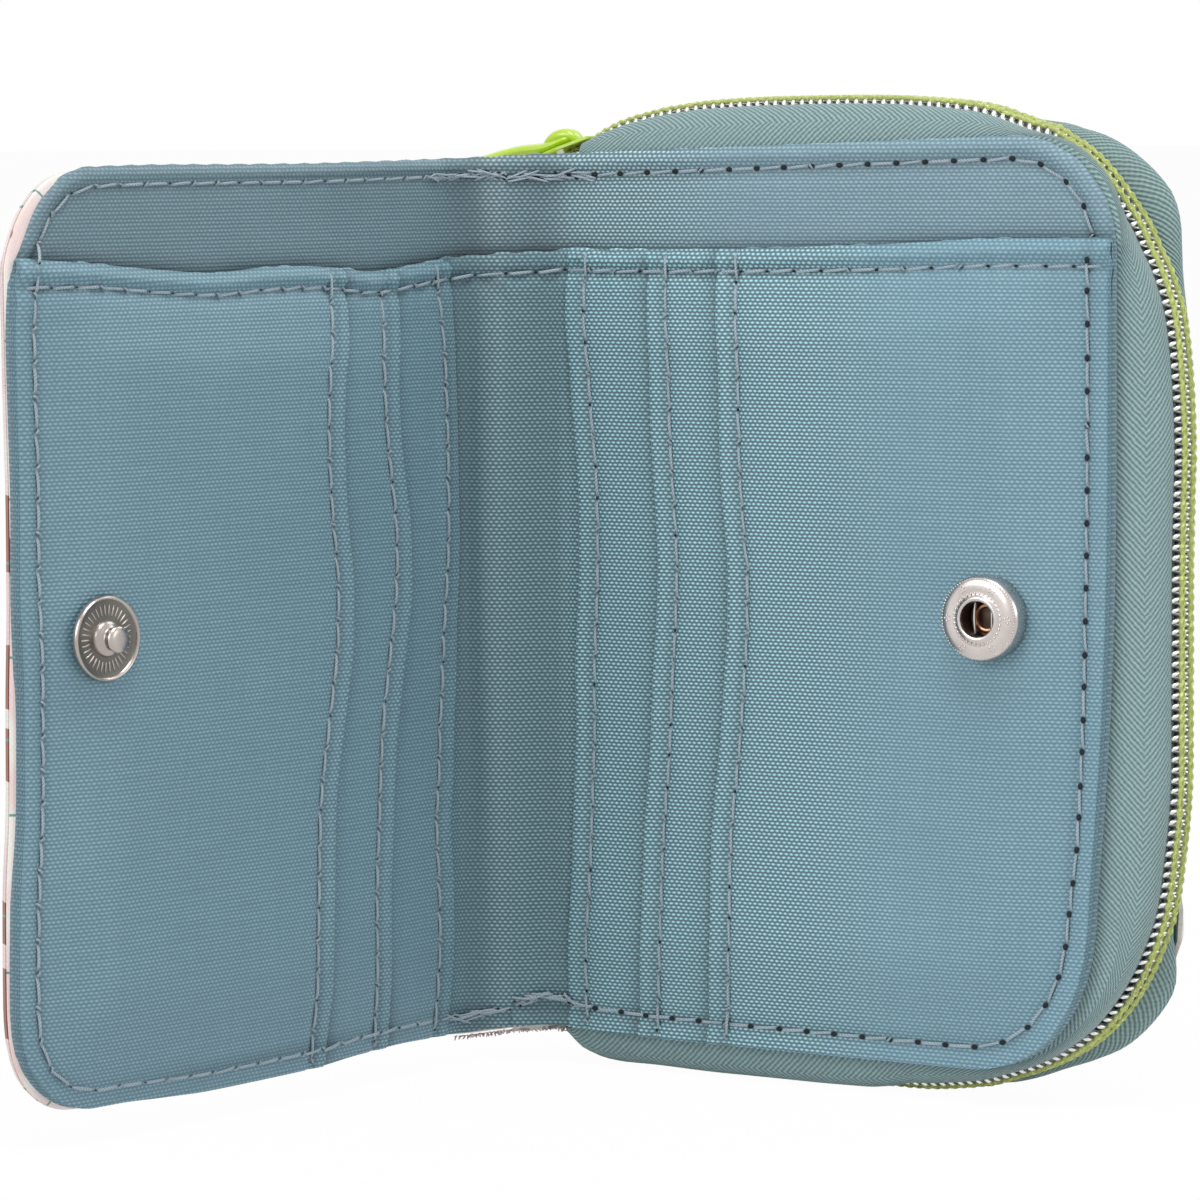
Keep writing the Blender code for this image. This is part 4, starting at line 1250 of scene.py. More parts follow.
# %% Spine cover and back cover
def spine_cover_place(along, up):
    flare = 2.3 * mm * eased(along, -3 * mm, 0.3 * mm)
    x, y = over_fold("coin_case", along, 1.05 * mm + flare)
    high = foot - 0.8 * mm + up * (1 + 0.3 * mm / panel_height)
    return x, y, high + lift("coin_case", along, high)


columns, cover_rows = spread(-spine_middle, 0.3 * mm, 0.6 * mm), spread(0, panel_height, 3 * mm)
sheet = lay_cloth("cover_spine", "coin_case", columns, cover_rows, spine_cover_place,
                  cover_cloth, printed, outward=-1)
settle(sheet, "coin_case", ["spine_cover"],
       fold_ends("coin_case"))
pouch_run, seam_radius = 10 * mm, 6 * mm


def pouch(out, seam, full):
    """Depth of the case's back, which pinches to its seam beside the spine."""
    return full + (seam - full) * np.clip(1 - out / pouch_run, 0, 1) ** 2


def back_place(seam, full, inset):
    edge = half_width - inset
    radii = [radius - inset for radius in corner["coin_case"]]

    def place(along, up):
        nook = round_off(seam_radius - along, seam_radius, seam_radius)
        low = panel_low("coin_case", along, edge, radii[1]) + inset + nook
        top = panel_top("coin_case", along, edge, radii[0]) - inset - nook
        high = low + (top - low) * up / panel_height
        gap = edge_gap("coin_case", along, high, edge, radii)
        gap = np.minimum(gap, np.minimum(top - high, high - low))
        rolled = np.clip(1 - gap / mm, 0, 1) * (inset == 0)
        depth = pouch(along, seam, full) - mm * (1 - np.sqrt(1 - rolled ** 2 * 0.999))
        depth += 0.35 * mm * wander(along, high, 26 * mm, 9.5) * eased(gap, mm, 12 * mm)
        swell = (0.8 + 2.4 * dip(high - 19 * mm, 10 * mm)) * mm * (inset == 0)
        return along + swell * (along / edge) ** 6, depth, high
    return place


for name, body, seam, full, inset, cloth, thickness, label in (
        ("cover_back", "coin_back", 3.35 * mm, 11.15 * mm, 0.0, printed, 0.5 * mm, "cover"),
        ("coin_lining_rear", "coin_back", 2.58 * mm, 9.38 * mm, 3.3 * mm, coin_cloth,
         0.3 * mm, "coin_lining"),
        ("coin_lining_fore", "coin_case", 1.92 * mm, 1.92 * mm, 3.3 * mm, coin_cloth,
         0.3 * mm, "coin_lining")):
    edge = half_width - inset
    columns = spread(0.3 * mm, edge, 1.3 * mm,
                     *round_columns(edge, [radius - inset for radius in corner["coin_case"]]),
                     *[seam_radius * (1 - math.sin(turn)) for turn in np.linspace(0, 1.5, 7)])
    cover_rows = spread(0, panel_height, 1.4 * mm, 0.3 * mm, 0.8 * mm, panel_height - 0.3 * mm,
                        panel_height - 0.8 * mm)
    sheet = lay_cloth(name, "coin_case", columns, cover_rows, back_place(seam, full, inset),
                      thickness, cloth, outward=1 if name == "coin_lining_rear" else -1)
    node = {"cover_back": "back_cover", "coin_lining_rear": "coin_lining_back",
            "coin_lining_fore": "coin_lining_front"}[name]
    settle(sheet, body, [node])

# %% [markdown]
# ## Zip
# The chain is two nylon coils sewn to two woven tapes.  Each tape leaves its seam at the
# panel's edge, stands up and rolls over to the chain.  The coil is one wire wound round and
# round: each turn's head locks between two turns of the other side.  Lime thread holds each
# coil to its tape, and shows as a bright plaited band on both sides of the chain's middle.

# %% The zip's way round the case
# The chain's outer face from the panel's edge, in millimetres: over the top by the way out from
# the fold, then by the share of the way from the upper corner round to the fold
top_bulge = ((-2.5, -0.08), (0, 0.75), (3, 2.4), (6, 3.5), (9, 4.15), (12, 4.65), (18, 5.15),
             (24, 5.25), (30, 5.15), (36, 5.0), (42, 4.7), (48, 4.15), (51, 3.75), (54, 3.15),
             (57, 2.1), (60.5, 0.85))
side_bulge = ((0, 0.85), (.013, -0.15), (.026, -0.6), (.039, -0.9), (.052, -1.05), (.065, -0.9),
              (.078, -0.4), (.091, 0.5), (.104, 1.55), (.121, 3.1), (.149, 4.65), (.178, 5.3),
              (.207, 5.65), (.235, 5.8), (.264, 5.65), (.321, 5.5), (.436, 5.5), (.465, 5.25),
              (.493, 4.7), (.522, 4.0), (.556, 2.35), (.576, 1.8), (.596, 1.45), (.616, 1.3),
              (.637, 1.15), (.657, 1.25), (.677, 1.6), (.697, 2.5), (.749, 3.5), (.960, 3.6),
              (.978, 3.4), (.9985, 2.3), (1.009, 0.7))
# How far out each tape's shoulder reaches beside the chain, by the same share
front_shoulder = ((-.4, 0.15), (.70, 0.15), (.725, 1.2), (.78, 3.5), (.96, 3.5),
                  (.978, 3.3), (.9985, 2.3), (1.009, 0.6))
back_shoulder = ((-.33, 1.2), (-.28, 3.2), (-.2, 4.0), (-.089, 3.2), (-.055, 2.7), (-.02, 1.7),
                 (0, 1.2), (.013, 0.8), (.026, 0.9), (.039, 1.1), (.052, 1.5), (.065, 2.15),
                 (.078, 2.85), (.091, 3.05), (.104, 3.1), (.121, 3.15), (.149, 3.4), (.207, 4.2),
                 (.264, 4.0), (.436, 4.0), (.493, 3.4), (.522, 2.5), (.540, 2.2), (.556, 3.1),
                 (.576, 4.2), (.596, 3.95), (.616, 3.5), (.637, 2.6), (.657, 2.1), (.697, 3.1),
                 (.75, 3.6), (1, 3.0))
chain_depth = 5.725 * mm


def zip_rows(start, end):
    """Rows of x, z, outward x, outward z, bulge, length along the chain and share of the way."""
    edge, radii = half_width, corner["coin_case"]
    rows = rim("coin_case", edge, radii, min(start, end))
    way = lengths_of(rows)
    begin = way[np.argmax(rows[:, 2] > 0)]
    full = (math.pi / 2 * sum(radii) + (way[rows[:, 2] >= 1][-1] - way[rows[:, 2] >= 1][0])
            + edge - radii[1] - 1.2 * mm)
    share = (way - begin) / full
    bulge = np.where(way < begin, smooth_value(top_bulge, rows[:, 0] / mm),
                     smooth_value(side_bulge, share)) * mm
    chain = rows[:, :2] + rows[:, 2:] * bulge[:, None]
    keep = np.ones(len(rows), dtype=bool)
    if end > start:
        keep = (rows[:, 3] > -1) | (rows[:, 0] >= end)
    elif start > end:
        keep = (rows[:, 3] < 1) | (rows[:, 0] >= start)
    return np.column_stack((rows[keep], bulge[keep], lengths_of(chain[keep]), share[keep]))


def at_zip(rows, length, out, depth):
    """The point at this length, this far out from the panel's edge and this deep."""
    x, z, side, rise = (np.interp(length, rows[:, 5], rows[:, k]) for k in range(4))
    return x + side * out, depth + 0 * x, z + rise * out


zip_front, zip_back = zip_rows(-2.5 * mm, 5 * mm), zip_rows(0.4 * mm, 5 * mm)
print("chain:", round(float(zip_front[-1, 5]) / mm), "mm long")

# %% Zip tapes
tape_width = 12 * mm


def tape_place(rows, seam_depth, edge_depth, chain_side, shoulders, pinch=0.0):
    """A tape from its seam up and over to the chain.  The pinch draws its lower end in."""
    def place(length, up):
        x, bulge, covered = (np.interp(length, rows[:, 5], rows[:, k]) for k in (0, 4, 6))
        seam, crest = seam_depth(x), bulge - 0.7 * mm
        share = up / tape_width
        sewn = np.clip(share / 0.22, 0, 1)
        turn = np.clip((share - 0.22) / 0.63, 0, 1) * math.pi / 2
        under = np.clip((share - 0.85) / 0.15, 0, 1)
        push = np.maximum(smooth_value(shoulders, covered) * mm - 0.71 * crest, 0.3 * mm)
        out = -(4.8 - 1.8 * chain_side) * mm * (1 - sewn) + crest * np.sin(turn)
        out += push * np.sin(2 * turn) - 0.55 * mm * eased(under, 0, 0.6)
        edge = edge_depth - pinch * (covered > 0.9) * (1 - eased(x, 0.5 * mm, 5.5 * mm))
        depth = seam + (edge - seam) * (1 - np.cos(turn)) + chain_side * under * 1.9 * mm
        wave = 0.22 * mm * wander(length, up, 9 * mm, 12.5) * np.sin(2 * turn)
        return at_zip(rows, length, out + wave, depth)
    return place


def cover_seam(out):
    return pouch(out, 2.6 * mm, 9.95 * mm)


for name, body, place, ends, node in (
        ("tape_front", "coin_case",
         tape_place(zip_rows(1.2 * mm, -1.0 * mm), lambda out: 0.925 * mm + 0 * out,
                    3.4 * mm, 1, front_shoulder), (1.2 * mm, -1.0 * mm), "zip_tape_front"),
        ("tape_back", "coin_back",
         tape_place(zip_rows(2.3 * mm, 0.9 * mm), cover_seam, 8.05 * mm, -1, back_shoulder,
                    3.0 * mm), (2.3 * mm, 0.9 * mm), "zip_tape_back")):
    columns = spread(0, float(zip_rows(*ends)[-1, 5]), 1.2 * mm)
    tape_rows = tape_width * np.concatenate((np.linspace(0, 0.22, 4), np.linspace(
        0.22, 0.85, 14)[1:], np.linspace(0.85, 1, 6)[1:]))
    sheet = lay_cloth(name, "coin_case", columns, tape_rows, place, 0.3 * mm, tape_cloth,
                      level=False)
    settle(sheet, body, [node])


# %% Coils and their lime bands
def add_wire(name, lines_of_points, radius, material, sides=6, closed=False):
    """A round wire along each line of points, made as a curve and turned into a mesh."""
    curve = bpy.data.curves.new(name, 'CURVE')
    curve.dimensions = '3D'
    curve.bevel_depth = radius
    curve.bevel_resolution = (sides - 4) // 2
    curve.use_fill_caps = True
    for points in lines_of_points:
        spline = curve.splines.new('POLY')
        spline.points.add(len(points) - 1)
        spline.points.foreach_set("co", np.column_stack((points, np.ones(len(points)))).ravel())
        spline.use_cyclic_u = closed
    wire = bpy.data.objects.new(name, curve)
    bpy.context.collection.objects.link(wire)
    pick(wire)
    bpy.ops.object.convert(target='MESH')
    wire = bpy.context.object
    wire.name = wire.data.name = name
    wire.data.materials.clear()
    wire.data.materials.append(material)
    bpy.ops.object.shade_smooth()
    return wire


def stood_up(body, points):
    matrix = np.array(stand[body])
    return points @ matrix[:3, :3].T + matrix[:3, 3]


chain_pitch = 1.18 * mm
for side, rows, body, sign in (("front", zip_front, "coin_case", -1),
                               ("back", zip_back, "coin_back", 1)):
    turns = rows[-1, 5] / chain_pitch
    phase = np.linspace(0, turns, int(turns * 12))
    length = phase * chain_pitch
    bulge = np.interp(length, rows[:, 5], rows[:, 4])
    turn = phase * 2 * math.pi + (math.pi if side == "back" else 0)
    middle = chain_depth + sign * 0.98 * mm
    points = np.column_stack(at_zip(rows, length, bulge - 0.5 * mm + 0.42 * mm * np.sin(turn),
                                    middle + 1.12 * mm * np.cos(turn)))
    coil = add_wire("coil_" + side, [stood_up("coin_case", points)], 0.26 * mm, coil_silver)
    settle(coil, body, ["zip_coil_" + side])
    strands = []
    for strand, offset in enumerate((-0.21 * mm, 0.21 * mm)):
        steps = np.linspace(0, turns, int(turns * 6))
        length = steps * chain_pitch
        bulge = np.interp(length, rows[:, 5], rows[:, 4])
        wave = steps * 2 * math.pi + strand * math.pi
        points = np.column_stack(at_zip(
            rows, length, bulge + 0.20 * mm + 0.09 * mm * np.sin(wave),
            middle + sign * 0.08 * mm + offset + 0.12 * mm * np.cos(wave)))
        strands.append(stood_up("coin_case", points))
    band = add_wire("lime_band_" + side, strands, 0.25 * mm, lime_thread)
    settle(band, body)

# %% [markdown]
# ## Stitches
# Everything is sewn with one light grey thread at seven stitches to the inch.  One stitch is a
# short thread whose ends dive into the cloth; copies of it follow each seam.  Where a seam
# starts and ends, a few stitches lie back over the others, and small knots show at the needle
# holes.

# %% One stitch and one needle hole
stitch_reach = 1.45 * mm


def make_stitch():
    bpy.ops.mesh.primitive_uv_sphere_add(segments=8, ring_count=9, radius=1)
    stitch = bpy.context.object
    bpy.ops.object.mode_set(mode='EDIT')
    bpy.ops.transform.rotate(value=math.pi / 2, orient_axis='Y', center_override=(0, 0, 0))
    bpy.ops.transform.resize(value=(stitch_reach, 0.20 * mm, 0.18 * mm),
                             center_override=(0, 0, 0))
    bpy.ops.object.mode_set(mode='OBJECT')
    for vertex in stitch.data.vertices:
        share = min(abs(vertex.co.x) / stitch_reach, 1)
        fuller = 0.8 / max(math.sqrt(1 - share ** 2), 0.35) if share < 0.95 else 1
        vertex.co.y *= fuller
        vertex.co.z = vertex.co.z * fuller - 0.30 * mm * share ** 4
    thread = stitch.data.uv_layers.active.data
    for loop in stitch.data.loops:
        co = stitch.data.vertices[loop.vertex_index].co
        thread[loop.index].uv = (co.x, math.atan2(co.y, co.z + 0.05 * mm) * 0.17 * mm)
    bpy.ops.object.shade_smooth()
    stitch.data.materials.append(seam_thread)
    return stitch


def small_bead(material, size, segments=10, rings=6):
    """A rounded bead; its half sizes are in millimetres."""
    bpy.ops.mesh.primitive_uv_sphere_add(segments=segments, ring_count=rings, radius=1)
    bead = bpy.context.object
    bpy.ops.object.mode_set(mode='EDIT')
    bpy.ops.transform.resize(value=[side * mm for side in size], center_override=(0, 0, 0))
    bpy.ops.object.mode_set(mode='OBJECT')
    bpy.ops.object.shade_smooth()
    bead.data.materials.append(material)
    return bead


# Painted shade: each needle hole is a near-black bead on the cloth, for the shadow down in the
# hole.
def make_hole_shade_material():
    material, tree, shader, _, place = start_material("needle_hole_shade", 0.9)
    cloud = use(tree, mottle, {"Vector": place, "Scale": 900.0})
    tree.links.new(blend_colours(tree, cloud["Fine"], (0.002, 0.003, 0.006),
                                 (0.012, 0.018, 0.024)), shader.inputs["Base Color"])
    return material


hole_shade = make_hole_shade_material()
stitch, hole = make_stitch(), small_bead(hole_shade, (0.36, 0.31, 0.12), 9, 5)
print("stitch of", len(stitch.data.polygons), "faces")


# %% Seam lines
def shown_face(half, along, high):
    """Depth of whatever cloth shows at a place: pocket below the hem, lining above it."""
    return np.where(high < hem_height(half, along), stacked_face(half, along, high) - 0.16 * mm,
                    lining_depth(half, along, high) - 0.13 * mm)


def seam_points(half, along, high):
    """Points of a seam in the frame, with the cloth's outward direction at each."""
    if half == "coin_case":
        along = along + 0.35 * tuck(half, along, high) * eased(high, 20 * mm, 32 * mm)
    high = high + (smooth_value(seam_arch, across_wallet(half, along) / mm) * mm
                   * (high < foot + 6 * mm))
    x, y = over_fold(half, along, shown_face(half, along, high) - 0.17 * mm)
    x = x - tuck(half, along, high)
    way, _, _, turn = fold_table(half)
    angle = np.interp(along, way, turn)
    outward = np.column_stack((np.sin(angle), -np.cos(angle), 0 * angle))
    turned = np.array(stand[half])[:3, :3]
    points = np.column_stack((x, y, high + lift(half, along, high)))
    return stood_up(half, points), outward @ turned.T


def place_copy(template, middle, direction, outward, size=(1, 1, 1)):
    direction = direction / np.linalg.norm(direction)
    outward = outward - direction * (outward @ direction)
    outward = outward / np.linalg.norm(outward)
    across = np.cross(outward, direction)
    matrix = np.eye(4)
    matrix[:3, 0], matrix[:3, 1] = direction * size[0], across * size[1]
    matrix[:3, 2], matrix[:3, 3] = outward * size[2], middle
    copy = template.copy()
    copy.data = template.data.copy()
    copy.data.transform(Matrix(matrix))
    bpy.context.collection.objects.link(copy)
    return copy


def sew(half, along, high, shake, holes=1.0, knots=0.0):
    """Copies of the stitch along one line; returns the threads and the needle holes."""
    points, outward = seam_points(half, along, high)
    way = np.concatenate(([0], np.cumsum(np.linalg.norm(np.diff(points, axis=0), axis=1))))
    count = max(1, round(way[-1] / stitch_pitch))
    needle = np.linspace(0, way[-1], count + 1)
    needle[1:-1] += shake.uniform(-0.12, 0.12, count - 1) * mm
    at = np.column_stack([np.interp(needle, way, points[:, k]) for k in range(3)])
    up = np.column_stack([np.interp(needle, way, outward[:, k]) for k in range(3)])
    threads, pierced = [], []
    for first, last, top in zip(at[:-1], at[1:], up):
        run = last - first
        run_length = np.linalg.norm(run)
        side = np.cross(top, run / run_length)
        slant = side * shake.uniform(0.02, 0.20) * mm
        size = (run_length / (2 * stitch_reach) * shake.uniform(0.84, 0.94),
                shake.uniform(0.95, 1.25), 1.1)
        threads.append(place_copy(stitch, (first + last) / 2, run + slant * 2, top, size))
        pierced.append(place_copy(hole, first + top * 0.02 * mm, run, top,
                                  (holes * 1.15, holes, 1)))
        if shake.random() < knots:
            turned = run / run_length + side * shake.uniform(0.6, 1.6) * shake.choice((-1, 1))
            threads.append(place_copy(stitch, first + top * 0.12 * mm, turned, top,
                                      (0.26, 0.9, 0.9)))
    return threads, pierced


def tangle(half, along, high, reach, count, shake):
    """Backstitches: threads that lie over each other at small angles."""
    threads, pierced = [], []
    for _ in range(count):
        place = along + shake.uniform(-0.5, 0.5) * reach
        level = high + shake.uniform(-0.40, 0.40) * mm
        ends = np.array([place - 1.2 * mm, place + 1.2 * mm])
        points, outward = seam_points(half, ends, np.array([level, level]))
        run = points[1] - points[0]
        run[2] += shake.uniform(-0.9, 0.9) * mm
        threads.append(place_copy(stitch, points.mean(axis=0)
                                  + outward[0] * shake.uniform(0.05, 0.35) * mm, run,
                                  outward[0], (shake.uniform(0.6, 1.1), 0.8, 0.8)))
        pierced.append(place_copy(hole, points[0] + outward[0] * 0.05 * mm, run, outward[0],
                                  (shake.uniform(0.4, 1.0), shake.uniform(0.3, 0.6), 1)))
    return threads, pierced


def seam_lines(half):
    """Rim, hem and card seams of one half, each with its share of the spine."""
    edge = outline[half][0]
    rows = inset_rim(half, edge_seam[half], 0.2 * mm)
    over = np.linspace(-spine_middle, 0, 12)
    top = rows[0, 1] + 0 * over
    low = rows[-1, 1] + 0 * over
    rim_line = (np.concatenate((over[:-1], rows[:, 0], over[-2::-1])),
                np.concatenate((top[:-1], rows[:, 1], low[-2::-1])))
    along = np.linspace(-spine_middle, edge - 0.6 * mm, 160)
    open_hole = 1.0 if half == "coin_case" else 0.6
    lines = [(rim_line, 1.0, 0.1) if half == "coin_case" else (rim_line, 0.3, 0.9)]
    lines.append(((along, hem_height(half, along) - hem_stitch(half, along)),
                  0.55 * open_hole, 0.4))
    for index in range(3):
        high = np.linspace(foot + 0.9 * mm, float(hem_height(half, card_folds[half][index]))
                           - 0.2 * mm, 140)
        lines.append(((card_fold(half, index, high) + card_seam, high), 0.48 * open_hole, 0.6))
    return lines


for half, side in (("coin_case", "right"), ("flap", "left")):
    shake = np.random.default_rng(7)
    rows = inset_rim(half, edge_seam[half], 0.2 * mm)
    sewn = [sew(half, along, high, shake, holes, knots)
            for (along, high), holes, knots in seam_lines(half)]
    sewn += [tangle(half, middle, level, 9 * mm, 17, shake)
             for middle, level in ((-1.2 * mm, rows[0, 1]), (-2.0 * mm, rows[-1, 1]))]
    threads, pierced = (sum(parts, []) for parts in zip(*sewn))
    for parts, name in ((threads, "thread_"), (pierced, "needle_hole_shades_")):
        settle(join(parts, name + side), half, ends=fold_ends(half))

# %% [markdown]
# ## Snap
# Both halves of the snap are turned sheet metal.  Each is drawn as a profile and turned by
# pulling a ring of points up step by step; beads and ribs are single small pieces copied round
# the middle, and the springs are two bent wires.

# %% Turned metal
def lathe(name, profile, material, closed=False, segments=72):
    """Pull a ring of points through a profile of radii and heights, in millimetres."""
    radius, height = profile[0]
    bpy.ops.object.select_all(action='DESELECT')
    bpy.ops.mesh.primitive_circle_add(vertices=segments, radius=radius * mm)
    piece = bpy.context.object
    piece.name = piece.data.name = name
    bpy.ops.object.mode_set(mode='EDIT')
    bpy.ops.transform.translate(value=(0, 0, height * mm))
    for next_radius, next_height in profile[1:]:
        bpy.ops.mesh.extrude_region_move(
            TRANSFORM_OT_translate={"value": (0, 0, (next_height - height) * mm)})
        size = next_radius / radius
        bpy.ops.transform.resize(value=(size, size, 1), center_override=(0, 0, 0))
        radius, height = next_radius, next_height
    if closed:
        bpy.ops.mesh.edge_face_add()
    bpy.ops.object.mode_set(mode='OBJECT')
    first = piece.data.polygons[0]
    if first.normal.dot(Vector((first.center.x, first.center.y, 0))) < 0:
        piece.data.flip_normals()
    bpy.ops.object.shade_smooth_by_angle(angle=math.radians(40))
    piece.data.materials.append(material)
    return piece


def ring_of(template, count, radius, height, start=0.0):
    """Copies of a bead round the middle, each with its length along the radius."""
    copies = []
    for turn in np.linspace(0, 2 * math.pi, count, endpoint=False) + start:
        out = np.array((math.cos(turn), math.sin(turn), 0))
        copies.append(place_copy(template, out * radius * mm + np.array((0, 0, height * mm)),
                                 out, np.array((0.0, 0.0, 1.0))))
    return copies


def face_out(piece, place, outward):
    piece.data.transform(Matrix.Translation(place)
                         @ Vector(outward).to_track_quat('Z', 'Y').to_matrix().to_4x4())


print("lathe ready")

# %% Socket
socket_seat = fold + Vector((57.6, -3.3, 55.5)) * mm
socket = lathe("socket", [
    (4.85, 0.0), (4.9, 0.35), (4.9, 1.0), (4.84, 1.6), (4.70, 2.05), (4.50, 2.30), (4.25, 2.42),
    (3.8, 2.48), (3.2, 2.50), (2.80, 2.46), (2.66, 2.52), (2.52, 2.70), (2.3, 2.76), (2.08, 2.68),
    (1.98, 2.45)], nickel)
# The well's near-black lining is painted shade.
well = lathe("socket_well", [(1.98, 2.45), (1.96, 1.6), (2.0, 0.9), (2.0, 0.10), (1.75, 0.05),
                             (1.3, 0.03)], hollow_shade_metal)
well.data.flip_normals()
bead, fine_bead = small_bead(nickel, (0.15, 0.15, 0.14)), small_bead(nickel, (0.11, 0.11, 0.13))
parts = [socket, well] + ring_of(bead, 34, 2.90, 2.50) + ring_of(fine_bead, 84, 4.52, 2.24)
for turn in np.linspace(0, 2 * math.pi, 6, endpoint=False):
    centre = np.array((math.cos(turn), math.sin(turn), 0)) * 3.72 * mm
    for dot in ring_of(fine_bead, 5, 0.33, 2.50, turn):
        dot.data.transform(Matrix.Translation(centre))
        parts.append(dot)
socket = join(parts)
face_out(socket, socket_seat, (0, -1, 0))
settle(socket, "coin_case", ["snap_socket"])

for name, side in (("snap_spring_outer", 1), ("snap_spring_inner", -1)):
    rise = np.linspace(-1.85, 1.85, 13)
    line = np.column_stack((side * (1.05 + 0.06 * (1 - (rise / 1.85) ** 2)),
                            -0.9 - 0.15 * (1 - (rise / 1.85) ** 2), rise)) * mm
    spring = add_wire(name + "_wire", [line + np.array(socket_seat)], 0.2 * mm, nickel, sides=10)
    settle(spring, "coin_case", [name])

eyelet = lathe("eyelet", [(1.72, 0.0), (1.72, 0.22), (1.62, 0.34), (1.42, 0.38), (1.24, 0.30),
                          (1.16, 0.12), (1.1, 0.04)], copper)
# A dark disc of painted shade closes the eyelet's hole.
plug = lathe("eyelet_plug", [(1.12, 0.06), (0.7, 0.08), (0.3, 0.14)], hollow_shade_metal, closed=True)
eyelet = join([eyelet, plug])
face_out(eyelet, socket_seat, (0, -1, 0))
settle(eyelet, "coin_case", ["snap_eyelet"])

# %% Stud
stud_seat = joint_at["flap_fold"] + Vector((-3.616, -62.285, 55.5)) * mm
rim_ring = lathe("stud", [(4.70, 0.0), (4.70, 0.3), (4.64, 0.55), (4.50, 0.66), (4.36, 0.62),
                          (4.24, 0.48), (4.18, 0.36)], worn_nickel)
dish = lathe("stud_dish", [(4.2, 0.38), (3.8, 0.32), (3.0, 0.32), (2.0, 0.36)], dull_nickel)
dish.data.flip_normals()
post = lathe("stud_post", [(2.05, 0.34), (1.95, 0.62), (1.8, 0.82), (1.55, 0.96), (1.32, 1.06),
                           (1.2, 1.2), (1.17, 1.5), (1.22, 1.75), (1.42, 1.95), (1.5, 2.12),
                           (1.44, 2.32), (1.25, 2.48), (0.9, 2.57), (0.4, 2.6)], worn_nickel,
             closed=True)
rib = small_bead(worn_nickel, (0.72, 0.11, 0.13))
stud = join([rim_ring, dish, post] + ring_of(rib, 34, 3.1, 0.34))
face_out(stud, stud_seat, (0.9833, -0.1819, 0))
settle(stud, "flap", ["snap_stud"])
for template in (bead, fine_bead, rib, stitch, hole):
    bpy.data.objects.remove(template)

# %% [markdown]
# ## Slider and puller
# Both are die-cast and thickly painted, so no edge is left sharp.  The bridge is a fat arch over
# the slider's plate, and the puller a flat pebble of metal that hangs under it.  Each is drawn as
# a row of sections that are pulled one from the next.

# %% Bridge and puller
slider_tilt = math.radians(19.7)
slider_stand = (Matrix.Translation(joint_at["puller_swing"] + Vector((0.623, 0, -1.742)) * mm)
                @ Matrix.Rotation(-slider_tilt, 4, 'Y'))


def pull_sections(name, sections, material, sides=20):
    """A rounded bar: each section is its place x, z, half width, half thickness and lean."""
    points = []
    turn = np.linspace(0, 2 * math.pi, sides, endpoint=False)
    for x, z, wide, thick, lean in sections:
        across = np.sign(np.cos(turn)) * np.abs(np.cos(turn)) ** 0.8 * wide
        rise = np.sign(np.sin(turn)) * np.abs(np.sin(turn)) ** 0.8 * thick
        angle = math.radians(lean)
        points.append(np.column_stack((x - rise * math.sin(angle), across,
                                       z + rise * math.cos(angle))) * mm)
    shape = bmesh.new()
    rings = [[shape.verts.new(point) for point in ring] for ring in points]
    for low, high in zip(rings, rings[1:]):
        for k in range(sides):
            j = (k + 1) % sides
            shape.faces.new((low[k], low[j], high[j], high[k]))
    shape.faces.new(rings[0][::-1])
    shape.faces.new(rings[-1])
    bmesh.ops.recalc_face_normals(shape, faces=shape.faces)
    mesh = bpy.data.meshes.new(name)
    shape.to_mesh(mesh)
    shape.free()
    piece = bpy.data.objects.new(name, mesh)
    bpy.context.collection.objects.link(piece)
    pick(piece)
    smooth = piece.modifiers.new("rounding", 'SUBSURF')
    smooth.levels = smooth.render_levels = 1
    bpy.ops.object.modifier_apply(modifier=smooth.name)
    bpy.ops.object.shade_smooth()
    mesh.materials.append(material)
    return piece


bridge = pull_sections("bridge", [
    (-3.5, 0.95, 0.5, 0.25, 75), (-3.35, 1.35, 0.95, 0.55, 65), (-2.9, 1.85, 1.2, 0.75, 50),
    (-2.2, 2.3, 1.35, 0.88, 30), (-1.3, 2.55, 1.4, 0.92, 10), (-0.4, 2.5, 1.4, 0.88, -10),
    (0.4, 2.25, 1.3, 0.8, -35), (0.95, 1.8, 1.15, 0.65, -60), (1.15, 1.3, 0.95, 0.5, -80),
    (1.2, 0.9, 0.6, 0.3, -88)], lacquer)
bridge.data.transform(slider_stand)
settle(bridge, "zip_slider", ["slider_bridge"])

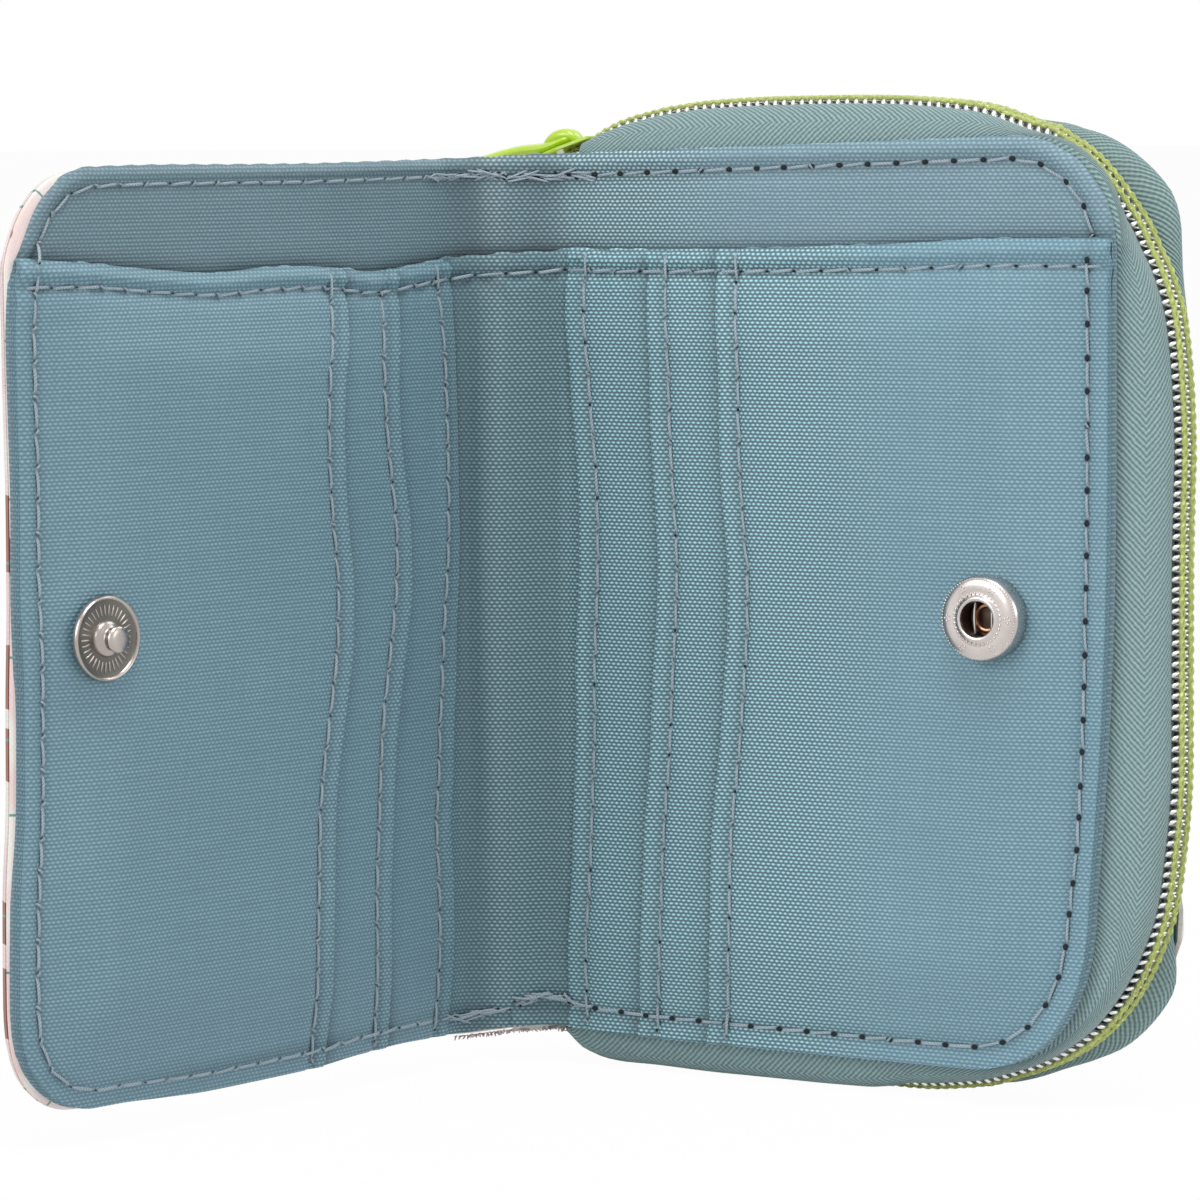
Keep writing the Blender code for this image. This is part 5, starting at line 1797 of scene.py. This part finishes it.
puller_lean = math.radians(12.7)
puller = pull_sections("puller_tab", [
    (0.7, 0, 0.5, 0.22, 0), (0.5, 0, 1.4, 0.40, 0), (-0.6, -0.15, 2.0, 0.5, 0),
    (-2.0, -0.5, 2.25, 0.62, 0), (-4.0, -0.35, 2.3, 0.8, 0), (-6.0, -0.02, 2.3, 0.82, 0),
    (-8.5, 0.05, 2.25, 0.82, 0),
    (-12, 0, 2.15, 0.72, 0), (-17, 0, 1.95, 0.65, 0), (-20.3, 0, 1.6, 0.55, 0),
    (-21.6, 0, 0.9, 0.4, 0), (-22, 0, 0.4, 0.2, 0)], lacquer)
puller.data.transform(Matrix.Translation(joint_at["puller_swing"])
                      @ Matrix.Rotation(-puller_lean, 4, 'Y'))
settle(puller, "zip_puller", ["puller"])

# %% [markdown]
# ## Cut edge
# Under the spine the printed cloth is cut, not turned in.  Its edge has frayed into a short pink
# fringe.

# %% Frayed edge
frayed = make_thread("frayed_edge", (0.70, 0.46, 0.44), (0.96, 0.80, 0.76), 0.8, 0.3 * mm)
shake = np.random.default_rng(21)
fibres = []
for along in np.linspace(-spine_middle, -0.3 * mm, 60):
    for half in ("coin_case", "flap"):
        x, y = over_fold(half, np.array([along]), 0.95 * mm + shake.uniform(-0.2, 0.2) * mm)
        level = foot - 0.55 * mm + float(lift(half, along, foot))
        root = np.array((float(x[0]), float(y[0]), level))
        tip = root + np.array((shake.uniform(-0.6, 0.6), shake.uniform(-0.3, 0.2),
                               -shake.uniform(0.1, 0.5))) * mm
        bend = (root + tip) / 2 + shake.uniform(-0.15, 0.15, 3) * mm
        fibres.append(stood_up(half, np.array([root, bend, tip])))
fringe = add_wire("frayed_edge", fibres, 0.07 * mm, frayed)
settle(fringe, "spine")

# %% [markdown]
# ## Carried-over parts
# The stiffening boards, the snap's backing discs and the slider's plate keep their own solids,
# each with a finish of its own.

# %% Finishes for the solids
for material, names in ((grey_board, ("front_board", "back_board", "flap_board")),
                        (nickel, ("snap_socket_backing", "snap_stud_backing")),
                        (lacquer, ("slider_body",))):
    for name in names:
        solid = bpy.data.objects[name].data
        solid.materials.clear()
        solid.materials.append(material)
    print(material.name, "on", ", ".join(names))

# %% End
print("scene built")
